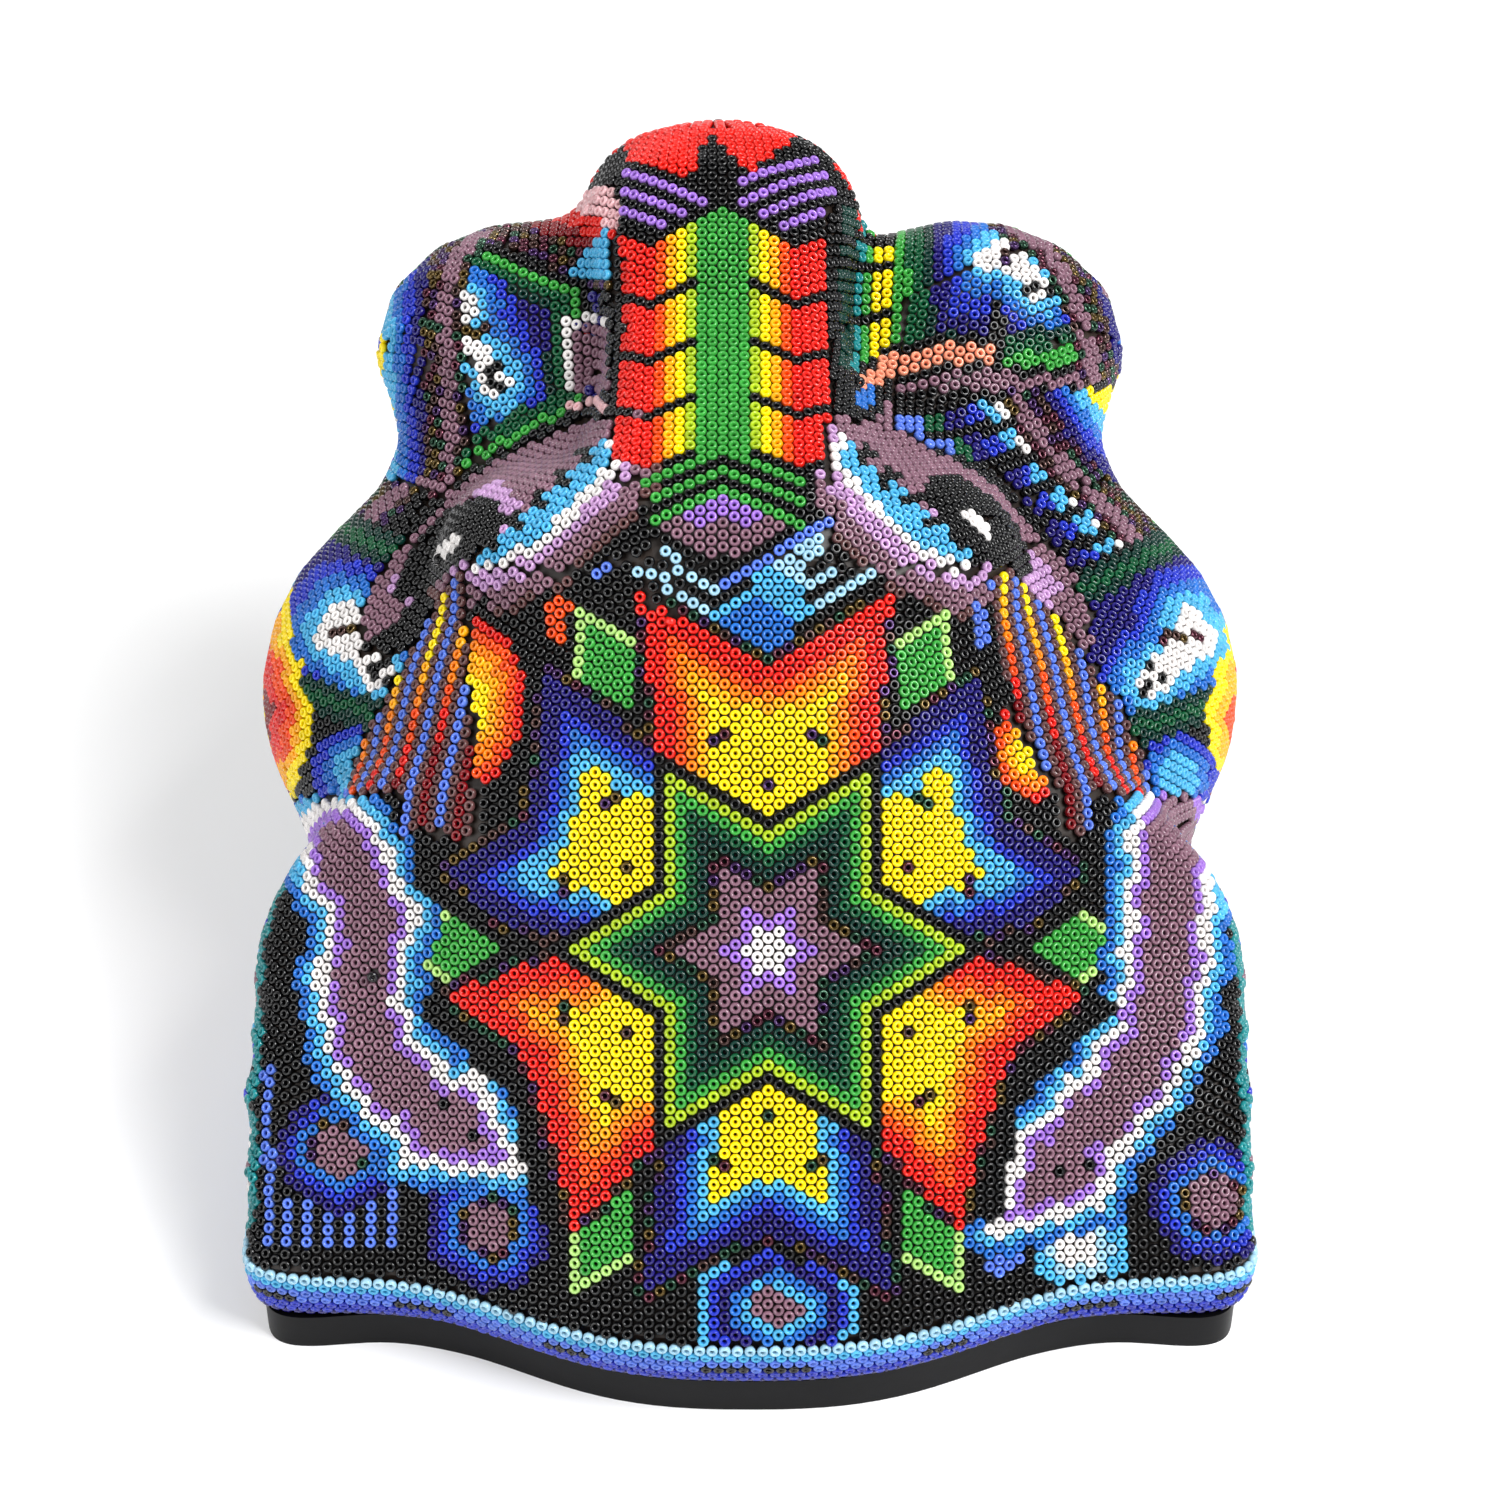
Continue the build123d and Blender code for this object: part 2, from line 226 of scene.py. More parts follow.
class Layer:
    """All beads laid so far."""

    def __init__(self, skin):
        self.skin = skin
        self.place, self.normal, self.ahead = [], [], []
        self.node, self.field, self.flat = [], [], []
        self.site = {}
        self.grid = Grid(pitch)

    def put(self, place, normal, ahead, node, field, flat):
        self.place.append(place)
        self.normal.append(normal)
        self.ahead.append((ahead - normal * ahead.dot(normal)).normalized())
        self.node.append(node)
        self.field.append(field)
        self.flat.append(flat)
        self.grid.add(place)
        return len(self.place) - 1

    def step(self, bead, angle, length=pitch):
        """The point one pitch from a bead, at an angle clockwise from its column's heading."""
        ahead, normal = self.ahead[bead], self.normal[bead]
        right = ahead.cross(normal)
        return self.place[bead] + (ahead * cos(angle) + right * sin(angle)) * length

    def grow(self, seeds):
        """Lattices spread from their seeds, nearest sites first, each over its own part of the head."""
        queue = []
        tries = {}
        for field, (start, tilt) in seeds.items():
            place, normal, node, _ = self.skin.nearest(start)
            ahead = heading(place, normal, tilt)
            self.site[field, 0, 0] = self.put(place, normal, ahead, node, field, (0.0, 0.0))
            for a, b in around:
                heappush(queue, (pitch, field, a, b))
        while queue:
            _, field, a, b = heappop(queue)
            key = (field, a, b)
            if key in self.site or tries.get(key, 0) > 2:
                continue
            tries[key] = tries.get(key, 0) + 1
            guess, ahead, count = Vector((0, 0, 0)), Vector((0, 0, 0)), 0
            for turn, (da, db) in enumerate(around):
                bead = self.site.get((field, a - da, b - db))
                if bead is not None:
                    guess += self.step(bead, turn * pi / 3)
                    ahead += self.ahead[bead]
                    count += 1
            place, normal, node, gap = self.skin.nearest(guess / count)
            if gap > skin_reach or not self.grid.free(place, closest):
                continue
            if field_at(self.skin.nodes[node], place, normal) != field:
                continue
            self.site[key] = self.put(place, normal, ahead, node, field, lattice_place(a, b))
            for da, db in around:
                if (field, a + da, b + db) not in self.site:
                    u, v = lattice_place(a + da, b + db)
                    heappush(queue, (sqrt(u * u + v * v), field, a + da, b + db))

    def fill(self):
        """Beads in the gaps that are left where lattices meet."""
        bead = 0
        while bead < len(self.place):
            for turn in range(12):
                guess = self.step(bead, turn * pi / 6)
                if not self.grid.free(guess, filler_first_gap):
                    continue
                place, normal, node, gap = self.skin.nearest(guess)
                if gap < skin_reach and place.z > band_high and self.grid.free(place, filler_gap):
                    u, v = self.flat[bead]
                    flat = (u + pitch * sin(turn * pi / 6), v + pitch * cos(turn * pi / 6))
                    self.put(place, normal, self.ahead[bead], node, self.field[bead], flat)
            bead += 1


band_low, band_high = (corner.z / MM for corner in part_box("beads_base_band"))


def lay_band(layer):
    """Rows that follow the lower edge all the way round and roll in under it."""
    centre = (cad_low.y + cad_high.y) / 2 / MM
    row = 0
    level = band_high - 0.9
    while level > band_low + 0.5:
        hits = []
        for turn in np.linspace(0, 2 * pi, 720, endpoint=False):
            hits.append(layer.skin.from_outside(Vector((sin(turn), cos(turn), 0)), level, centre))
        points = np.array([hit[0] for hit in hits] + [hits[0][0]])
        along = np.concatenate([[0], np.cumsum(np.linalg.norm(np.diff(points, axis=0), axis=1))])
        count = round(along[-1] / pitch)
        for number in range(count):
            where = (number + 0.5 * (row % 2)) / count * along[-1]
            guess = Vector([np.interp(where, along, points[:, k]) for k in range(3)])
            place, normal, node, _ = layer.skin.nearest(guess)
            layer.put(place, normal, Vector((0, 0, 1)), node, "band", (where, row))
        level -= row_gap * 0.96
        row += 1


# --- where the lattices start ---


def at(side, forward, up):
    """A point of the head by side, distance forward of the nape's foot, and height."""
    return Vector((-side, nape_foot.y - forward, up))


def on_nape(side, rise):
    return nape_foot + up_nape * rise + Vector((-side, 0, 0))


def lattice_seeds():
    """Where each lattice starts, and how its columns lean as the maker sees them, in degrees."""
    seeds = {"nape": (on_nape(star_side, star_rise), 0),
             "bridge": (at(lean, 135, 150), 0),
             "chin": (at(0, 181, 65), None),
             "throat": (at(0, 122, 26), None),
             "lip": (at(0, 190, 112), None)}
    for name, s in (("right", 1), ("left", -1)):
        seeds["fan_" + name] = (on_nape(s * 60, 107), -14 * s)
        seeds["eye_" + name] = (on_nape(s * 33, 143), -45 * s)
        seeds["muzzle_" + name] = (at(s * 44, 160, 140), -4 * s)
        seeds["cheek_" + name] = (at(s * 80, 125, 85), 10 * s)
    return seeds


def heading(place, normal, tilt):
    """Direction on the skin that the maker sees tilted clockwise, or upright where there is no tilt."""
    if tilt is None:
        return Vector((0, 0, 1))
    seen = up_nape * cos(radians(tilt)) - Vector((1, 0, 0)) * sin(radians(tilt))
    towards = (eye_point - place).normalized()
    return seen - towards * (seen.dot(normal) / towards.dot(normal))


def seen_place(place):
    """Side and rise on the nape's plane where the maker sees a point."""
    offset = place - nape_foot
    scale = view_distance / (view_distance - offset.dot(off_nape))
    return -place.x * scale, view_rise + (offset.dot(up_nape) - view_rise) * scale


nape_fields = ("beads_star", "beads_petal_", "beads_nape_ground", "beads_wing_")
lone_fields = {"beads_chin": "chin", "beads_throat": "throat", "beads_upper_lip": "lip"}
bridge_reach = 10.4 * row_gap
brow_foot = 131.5


fan_rises = (88.0, 94.0, 108.0, 118.0, 127.0, 133.0)
fan_inner = {"right": (55.0, 53.4, 45.4, 43.0, 41.4, 40.4), "left": (47.0, 47.2, 48.0, 48.6, 49.2, 49.6)}
fan_outer = {"right": (71.0, 69.0, 64.0, 56.6, 50.0, 44.6), "left": (71.0, 69.4, 63.6, 58.0, 53.0, 50.0)}
eye_sides = (14.0, 24.8, 32.0, 40.0, 46.5, 52.0, 58.0)
eye_rises = (158.5, 156.4, 153.0, 150.6, 144.4, 136.4, 127.0)


def in_fan(side, rise, hand):
    """Whether the maker sees a place within a fan of stripes."""
    low, high = (np.interp(rise, fan_rises, edge[hand]) for edge in (fan_inner, fan_outer))
    return 88 < rise < 133 and low < abs(side) < high


def face_field(place):
    """Which lattice covers a place on the part of the face that the maker sees."""
    side, rise = seen_place(place)
    hand = "right" if side > 0 else "left"
    if 88 < rise < 133 and abs(side) < np.interp(rise, fan_rises, fan_outer[hand]):
        return "fan_" + hand if in_fan(side, rise, hand) else "nape"
    mirrored = side if hand == "right" else -(side + left_eye_shift)
    if rise >= 118 and mirrored < 58 and rise < np.interp(mirrored, eye_sides, eye_rises):
        return "eye_" + hand
    return ("muzzle_" if rise > 132 + 0.25 * abs(side) else "cheek_") + hand


def field_at(node, place, normal):
    """Which lattice covers a place."""
    side, rise = seen_place(place)
    hand = "right" if side > 0 else "left"
    facing = normal.dot(eye_point - place) > 0
    if facing and node.startswith(("beads_fan", "beads_nape_ground")) and in_fan(side, rise, hand):
        return "fan_" + hand
    if node.startswith(nape_fields) or (node == "beads_brow" and rise < brow_foot):
        return "nape"
    near = abs(-place.x - lean) < bridge_reach
    if node == "beads_nose_tip" and (near or rise > 197 or not facing):
        return "bridge"
    if near and (node == "beads_brow" or (facing and rise > 147)):
        return "bridge"
    if node in lone_fields:
        return lone_fields[node]
    if facing:
        return face_field(place)
    return ("cheek_" if node.startswith(("beads_cheek", "beads_fan")) else "muzzle_") + hand


# --- colours, as written values out of 255 ---
palette = {
    "black": (7, 7, 9), "white": (236, 232, 230),
    "red": (222, 28, 18), "dark_red": (124, 12, 22), "vermilion": (240, 78, 14),
    "orange": (248, 132, 8), "amber": (252, 176, 8), "yellow": (255, 228, 6),
    "lime": (168, 196, 30), "green": (56, 158, 60), "deep_green": (12, 84, 50),
    "pine": (8, 52, 44), "teal": (26, 132, 136), "pale_green": (172, 214, 120),
    "navy": (30, 22, 110), "royal": (34, 52, 186), "blue": (34, 108, 196),
    "sky": (76, 176, 222), "pale_blue": (160, 204, 226), "periwinkle": (86, 120, 220),
    "lilac": (158, 112, 208), "orchid": (190, 148, 196), "mauve": (132, 96, 112), "brown": (96, 62, 62),
    "pink": (232, 184, 188), "salmon": (238, 150, 118),
    "lustre": (70, 34, 48),
}
lustre_tints = ((86, 34, 52), (92, 72, 26), (30, 70, 50), (66, 36, 88), (74, 50, 46))
names = list(palette)
code = {name: number for number, name in enumerate(names)}


class Paint:
    """Every bead's place in the patterns, and the colour it gets."""

    def __init__(self, layer):
        place = np.array(layer.place)
        normal = np.array(layer.normal)
        self.node = np.array(layer.skin.nodes)[layer.node]
        self.field = np.array(layer.field)
        self.u, self.v = np.array(layer.flat, float).T
        self.side = -place[:, 0]
        self.up = place[:, 2]
        self.s, self.r = np.array([seen_place(p) for p in layer.place]).T
        self.place = place
        self.normal = normal
        self.seen = np.einsum("ij,ij->i", normal, np.array(eye_point) - place) > 0
        self.colour = np.full(len(place), code["black"])

    def of(self, *starts):
        """Beads on the nodes whose names start like this."""
        return np.logical_or.reduce([np.char.startswith(self.node, start) for start in starts])

    def face(self, hand):
        """Beads of one side's pad and cheek that the maker sees."""
        return self.seen & ((self.field == "muzzle_" + hand) | (self.field == "cheek_" + hand))

    def put(self, mask, name):
        self.colour[mask] = code[name]

    def bands(self, mask, level, steps):
        """Colours by level: each step is an upper limit and a colour."""
        free = mask.copy()
        for limit, name in steps:
            now = free & (level <= limit)
            self.put(now, name)
            free &= ~now

    def stroke(self, mask, path, half_width, name):
        """A line of one colour through points of the maker's view."""
        self.put(mask & (distance_to_path(self.s, self.r, path)[0] <= half_width), name)

    def gap(self, mask, others):
        """Distance from some beads to the nearest of some others, along the skin as good as straight."""
        tree = KDTree(int(others.sum()))
        for number, bead in enumerate(np.flatnonzero(others)):
            tree.insert(self.place[bead], number)
        tree.balance()
        gaps = np.full(len(mask), 1e3)
        for bead in np.flatnonzero(mask):
            gaps[bead] = tree.find(self.place[bead])[2]
        return gaps


def distance_to_path(x, y, path):
    """Distance from points to a bent line, how far along it they are, and on which side."""
    best = np.full(len(x), 1e9)
    along = np.zeros(len(x))
    hand = np.zeros(len(x))
    run = 0.0
    for (x0, y0), (x1, y1) in zip(path, path[1:]):
        dx, dy = x1 - x0, y1 - y0
        length = sqrt(dx * dx + dy * dy)
        t = np.clip(((x - x0) * dx + (y - y0) * dy) / length ** 2, 0, 1)
        gap = np.hypot(x - x0 - t * dx, y - y0 - t * dy)
        nearer = gap < best
        best = np.where(nearer, gap, best)
        along = np.where(nearer, run + t * length, along)
        hand = np.where(nearer, np.sign(dx * (y - y0) - dy * (x - x0)), hand)
        run += length
    return best, along, hand


def turned(u, v, degrees):
    """Coordinates seen from axes turned clockwise by some degrees."""
    c, s = cos(radians(degrees)), sin(radians(degrees))
    return u * c - v * s, u * s + v * c


# --- the nape: star, petals, diamonds and discs ---
star_colours = ((1.5, "white"), (2.5, "lilac"), (4.5, "mauve"), (5.5, "lustre"), (6.5, "pine"),
                (7.5, "deep_green"), (8.5, "green"), (9.5, "lime"), (10.5, "black"))
hot_petal = ((1.9, "red"), (2.9, "vermilion"), (3.9, "orange"), (4.8, "amber"), (99, "yellow"))
cold_petal = ((1.7, "navy"), (2.7, "royal"), (3.6, "blue"), (4.8, "sky"), (99, "yellow"))
top_edge = ((18.6, 32.0), (22.8, 60.5), (0, 49.0), (-22.8, 60.5), (-18.6, 32.0))
bottom_edge = ((-17.6, -32.0), (-21.5, -58.0), (0, -47.8), (21.5, -58.0), (17.6, -32.0))
upper_edge = ((33.6, 1.2), (46.0, 4.5), (58.0, 12.5), (42.6, 22.0), (40.5, 31.0), (39.0, 48.0), (20.6, 35.0))
lower_edge = ((20.0, -34.0), (33.5, -47.5), (39.0, -28.0), (42.0, -19.0), (57.0, -8.2), (45.0, -3.6),
              (33.6, -1.2))


def inside_shape(x, y, corners):
    """Whether points lie inside a closed outline."""
    inside = np.zeros(len(x), bool)
    for (x0, y0), (x1, y1) in zip(corners, corners[1:] + corners[:1]):
        if y0 == y1:
            continue
        crosses = (y0 > y) != (y1 > y)
        inside ^= crosses & (x < x0 + (y - y0) * (x1 - x0) / (y1 - y0))
    return inside


def shape_level(x, y, corners):
    """Distance out from a closed outline, less than nothing within it."""
    gap = distance_to_path(x, y, corners + corners[:1])[0]
    return np.where(inside_shape(x, y, corners), -gap, gap)


def petals():
    """Outer edge, colours and marks' heading of each petal about the star's centre."""
    left_upper = tuple((-x, y) for x, y in upper_edge)
    left_lower = tuple((-x, y) for x, y in lower_edge)
    return ((top_edge, hot_petal, 0), (upper_edge, cold_petal, 60), (lower_edge, hot_petal, 120),
            (bottom_edge, cold_petal, 180), (left_lower, hot_petal, 240), (left_upper, cold_petal, 300))


def star_level(u, v):
    """Rows from the star's centre to the edge of its ring through a point."""
    levels = []
    for first in (30, 90):
        edges = [u * sin(radians(first + k)) + v * cos(radians(first + k)) for k in (0, 120, 240)]
        levels.append(np.maximum.reduce(edges))
    return np.minimum(*levels) / row_gap


def paint_star(paint):
    on = paint.field == "nape"
    level = star_level(paint.u, paint.v)
    paint.bands(on & (level <= 10.5), level, star_colours)


def paint_petals(paint):
    """Six two-horned petals that fill the star's notches."""
    on = (paint.field == "nape") & (star_level(paint.u, paint.v) > 10.5)
    for edge, steps, turn in petals():
        inside = on & inside_shape(paint.u, paint.v, ((0, 0), *edge))
        level = distance_to_path(paint.u, paint.v, edge)[0] / row_gap
        paint.bands(inside, level, steps)
        paint.put(on & ~inside & (level < 0.85), "lustre")
        across, out = turned(paint.u, paint.v, turn)
        for mark_across, mark_out in ((4, 17), (5, 16.5), (0, 13)):
            gap = np.hypot(np.abs(across) - mark_across * row_gap, out - mark_out * pitch)
            paint.put(inside & (gap < 0.7), "lustre")


def paint_diamonds(paint):
    """Small green diamonds between the petals' horns, with two pale edges."""
    on = paint.field == "nape"
    middle, half = 15.4, 2.7
    for turn in range(30, 390, 60):
        across, out = turned(paint.u, paint.v, turn)
        first = (out / sqrt(3) - across) / pitch
        second = (out / sqrt(3) + across) / pitch
        here = on & (np.abs(first - middle) < half) & (np.abs(second - middle) < half) & (out > 0)
        here &= ~petal_mask(paint)
        paint.put(here, "green")
        paint.put(here & (np.maximum(first, second) > middle + half - 1.05), "pale_green")


def paint_disc(paint, centre, steps, squash=1.0):
    """Rings of colour round a point of the maker's view."""
    level = np.hypot(paint.s - centre[0], (paint.r - centre[1]) / squash)
    back = paint.of("beads_nape_ground", "beads_wing_") & paint.seen & (paint.field != "band")
    paint.bands(back & (level <= steps[-1][0]) & (paint.colour == code["black"]), level, steps)


blue_disc = ((4.2, "mauve"), (5.4, "lustre"), (7.2, "blue"), (9.0, "royal"), (10.8, "navy"))
wide_disc = ((4.2, "mauve"), (6.2, "sky"), (8.2, "blue"), (10.4, "navy"), (12.4, "royal"), (14.2, "sky"))


def paint_nape_ground(paint):
    for centre in ((-69.4, 34.2), (-44.5, 21.0), (78.7, 25.7)):
        paint_disc(paint, centre, blue_disc)
    paint_disc(paint, (4.5, 7.0), wide_disc, 0.8)
    paint_disc(paint, (55.9, 17.3), ((3.6, "white"), (5.6, "pale_blue"), (8.2, "sky")), 0.85)
    paint_disc(paint, (42.8, 15.0), ((3.4, "periwinkle"),), 0.8)
    ground = paint.of("beads_nape_ground", "beads_wing_") & paint.seen
    for number, side in enumerate((-82.0, -78.4, -74.8, -71.2, -67.6, -64.0, -60.4)):
        high = 48.0 if number == 0 else 28.0 - 1.4 * (number % 3)
        column = ground & (np.abs(paint.s - side) < 0.95) & (paint.r < high) & (paint.r > 18.0)
        paint.put(column & (paint.colour == code["black"]), "periwinkle")
    free = ground & (paint.colour == code["black"])
    paint.put(free & (np.abs(paint.s + 32.8) < 2.0) & (np.abs(paint.r - 124) < 3.4), "vermilion")
    paint.put(free & (np.abs(paint.s - 39.9) < 2.0) & (np.abs(paint.r - 124.0) < 4.6), "periwinkle")


# --- the wings: zigzag serpents and rims ---
right_serpent = ((72.4, 91.5), (71.4, 79), (70.9, 67), (69.0, 54), (62.6, 43.5), (54.8, 35.8))
right_head = ((41.0, 19.6), (60.0, 25.0), (63.0, 36.0), (47.0, 38.5))
left_serpent = ((-70.2, 87), (-64.5, 73), (-66.5, 60), (-64.0, 49.5), (-54.5, 41))
left_head = ((-61.5, 44.0), (-59.0, 31.8), (-38.4, 29.8), (-46.5, 47.0))
serpent_colours = ((3.9, "mauve"), (5.5, "lilac"), (7.6, "white"), (9.3, "sky"), (11.0, "blue"))


def paint_wings(paint):
    marks = ((-51.3, 41.8), (-52.5, 36.7), (-47.9, 37.1), (53.7, 36.7), (58.1, 32.2), (52.5, 30.5))
    for name, path, head in (("right", right_serpent, right_head), ("left", left_serpent, left_head)):
        wing = paint.of("beads_wing_" + name, "beads_nape_ground") & paint.seen & ~petal_mask(paint)
        gap, along, _ = distance_to_path(paint.s, paint.r, path)
        body = gap + 1.6 * np.abs((along / 10.0) % 1 * 2 - 1) - 0.8
        level = np.minimum(body, shape_level(paint.s, paint.r, head) + 7.0)
        paint.bands(wing & (level <= 11.0), level, serpent_colours)
    for x, y in marks:
        near = np.hypot(paint.s - x, paint.r - y) < 1.05
        paint.put(paint.seen & near & (paint.colour == code["mauve"]), "black")


def petal_mask(paint):
    """Beads that belong to the star or to a petal, with the petal's outline."""
    inside = star_level(paint.u, paint.v) <= 10.5
    for edge, _, _ in petals():
        near = distance_to_path(paint.u, paint.v, edge)[0] / row_gap < 0.85
        inside |= near | inside_shape(paint.u, paint.v, ((0, 0), *edge))
    return inside & (paint.field == "nape")


def paint_wing_sides(paint):
    """The wings' rims, and their outer flanks, which wrap round to the throat."""
    wing = paint.of("beads_wing_")
    seen = wing & paint.seen
    rim = paint.gap(seen, ~paint.seen & ~(paint.field == "band"))
    paint.bands(seen, rim, ((4.4, "teal"), (99, "black")))
    flank = wing & ~paint.seen
    wave = (nape_foot.y - paint.place[:, 1] + 5.0 * np.abs((paint.up / 13.0) % 1 * 2 - 1)) % 26
    paint.bands(flank, wave, ((3, "black"), (5, "royal"), (7, "blue"), (9, "sky"), (11, "white"),
                              (16, "mauve"), (18, "white"), (20, "sky"), (22, "blue"), (24, "royal"),
                              (26, "black")))


# --- the fans of thin stripes ---


def paint_fans(paint):
    """Single columns: warm ones that darken downwards, brown ones and periwinkle ones in turn."""
    for name, hand in (("right", 1), ("left", -1)):
        fan = paint.field == "fan_" + name
        column = np.rint(paint.u / row_gap).astype(int) % 4
        paint.put(fan & (column % 2 == 1), "brown")
        paint.put(fan & (column == 0), "periwinkle")
        top = 132.5 - 0.9 * (paint.s * hand - 46)
        paint.bands(fan & (column == 2), top - paint.r, ((7, "yellow"), (10, "amber"), (14, "orange"),
                                                         (18, "vermilion"), (23, "red"), (99, "dark_red")))
    warm_oval = ((0.42, "yellow"), (0.58, "amber"), (0.74, "orange"), (0.9, "vermilion"), (1.0, "red"))
    ground = (paint.field == "nape") & paint.seen & ~petal_mask(paint)
    for x, y, wide, high in ((-48.5, 110.0, 10.0, 14.5), (47.5, 102.0, 6.5, 8.5)):
        level = np.hypot((paint.s - x) / wide, (paint.r - y) / high)
        paint.bands(ground & (level <= 1), level, warm_oval)


# --- brow, bridge and nose ---


def paint_bridge(paint):
    """Coloured columns either side of a green middle, crossed by bent black lines, and arrows below."""
    on = (paint.field == "bridge") & paint.seen
    far = np.abs(np.rint(paint.u / row_gap))
    top = bridge_top(paint)
    bend = np.where(far < 7, far, 14 - far) / 2
    row = np.rint(top - paint.v / pitch - bend)
    bridge = on & (far <= 10) & (row >= 0) & (row < 23)
    paint.bands(bridge, far, ((2, "green"), (3, "lime"), (4, "yellow"), (5, "amber"), (6, "vermilion"),
                              (10, "red")))
    paint.put(bridge & (row % 6 == 5) & (far > 2), "black")
    row = np.rint(top - paint.v / pitch - far / 2)
    arrow = on & (row >= 23) & (paint.r > brow_foot - 4) & (paint.r < 156)
    paint.put(arrow, "black")
    paint.put(arrow & ((row == 24) | (row == 26) | (row == 28)) & (far <= 7), "green")
    paint.put(arrow & (row == 23) & (far <= 2), "green")
    fall = np.rint(top - paint.v / pitch + far / 2)
    paint.put(arrow & (row >= 29) & (fall <= 34), "mauve")
    paint.put(arrow & (row >= 29) & (row <= 30) & (fall <= 32), "lilac")


heart = ((-20.9, 201.3), (-10.7, 198.3), (-7.4, 203.0), (-6.1, 207.4), (-4.2, 204.0), (0.0, 199.8),
         (9.0, 206.8), (8.0, 214.0), (-22.0, 214.0))


def paint_nose(paint):
    """Lilac lines, a black drop and a red heart over the nose, then its red front."""
    crown = (paint.field == "bridge") & paint.seen
    column = np.rint(paint.u / row_gap)
    far = np.abs(column)
    top = bridge_top(paint)
    bend = np.where(far < 7, far, 14 - far) / 2
    above = crown & (np.rint(top - paint.v / pitch - bend) < 0) & (paint.r > 186)
    paint.put(above, "black")
    line = np.rint(paint.v / pitch - far / 2 - top)
    paint.put(above & inside_shape(paint.s, paint.r, heart) & (line >= 2), "red")
    for row, starts, ends in ((2, 0, 10), (0, 2, 11), (-2, 4, 12), (-4, 6, 14)):
        reach = np.where(column > 0, ends, min(ends, 10) if row < 2 else 2)
        paint.put(above & (line == row) & (far >= starts) & (far <= reach), "lilac")
    drop = np.hypot((paint.s + 6.2) / (3.5 - 0.3 * (paint.r - 201.0)).clip(0.6, 4.4), (paint.r - 201.0) / 5.4)
    paint.put(above & (drop < 1) & (line >= 2), "black")
    front = paint.of("beads_nose_tip") & ~paint.seen
    across = paint.side + 5.5
    paint.put(front, "red")
    paint.put(front & (np.abs(across) < 1.1), "black")
    for s in (-1, 1):
        nostril = np.hypot((across - s * 11) / 1.3, paint.up - 128 - 0.25 * np.abs(across))
        paint.bands(front, nostril, ((3.6, "black"), (5.4, "dark_red")))


def bridge_top(paint):
    """Lattice row of the bridge's top corner, where the green column ends."""
    middle = (paint.field == "bridge") & paint.seen & (np.abs(np.rint(paint.u / row_gap)) == 0)
    gap = np.hypot(paint.s + 5.2, paint.r - 193.6) + 1e3 * ~middle
    return paint.v[np.argmin(gap)] / pitch


brow_lines = (((-15.8, 135.5), (-5.1, 128.7)), ((-19.2, 132.9), (-4.8, 123.9)),
              ((17.5, 135.2), (6.8, 127.9)), ((20.9, 132.4), (10.2, 125.0)))
brow_patches = ((((3.0, 129.6), (3.95, 133.6), (13.0, 139.0), (13.4, 134.6), (8.0, 130.4), (5.2, 129.4)),
                 "pale_blue"),
                (((-7.6, 125.0), (2.8, 132.4), (12.6, 126.2), (4.0, 119.0)), "sky"),
                (((-4.6, 123.6), (2.5, 127.8), (9.4, 123.8), (3.4, 118.0)), "blue"))


def paint_brow(paint):
    """Pale arrow lines and a blue triangle between the chevrons and the top petal."""
    brow = (paint.of("beads_brow", "beads_nape_ground", "beads_petal_top") & paint.seen & ~petal_mask(paint)
            & (paint.r > 118) & (paint.r < 143) & (np.abs(paint.s) < 31) & (paint.colour == code["black"]))
    for line in brow_lines:
        paint.stroke(brow, line, 0.95, "pale_blue")
    for corners, name in brow_patches:
        paint.put(brow & inside_shape(paint.s, paint.r, corners), name)
    paint.stroke(brow, ((-3.6, 129.8), (14.2, 141.2)), 0.98, "periwinkle")
    patch = paint.seen & (paint.colour == code["black"]) & (np.abs(paint.s + 25.3) < 4.0)
    patch &= np.abs(paint.r - 136.2 - 0.4 * (paint.s + 25.3)) < 4.6
    paint.put(patch, "sky")
    paint.put(patch & ((paint.s > -23.3) | (paint.r < 133.4)), "periwinkle")


# --- eyes ---
lid_core = ((18.4, 152.0), (25.4, 144.4), (31.0, 139.3), (36.7, 136.3))
lash = ((15.0, 156.5), (20.8, 150.8), (30.0, 142.6), (38.0, 135.4), (46.0, 129.5), (55.0, 121.5))
lid_colours = ((2.7, "sky"), (4.6, "white"), (7.4, "orchid"), (10.8, "mauve"), (12.2, "brown"))


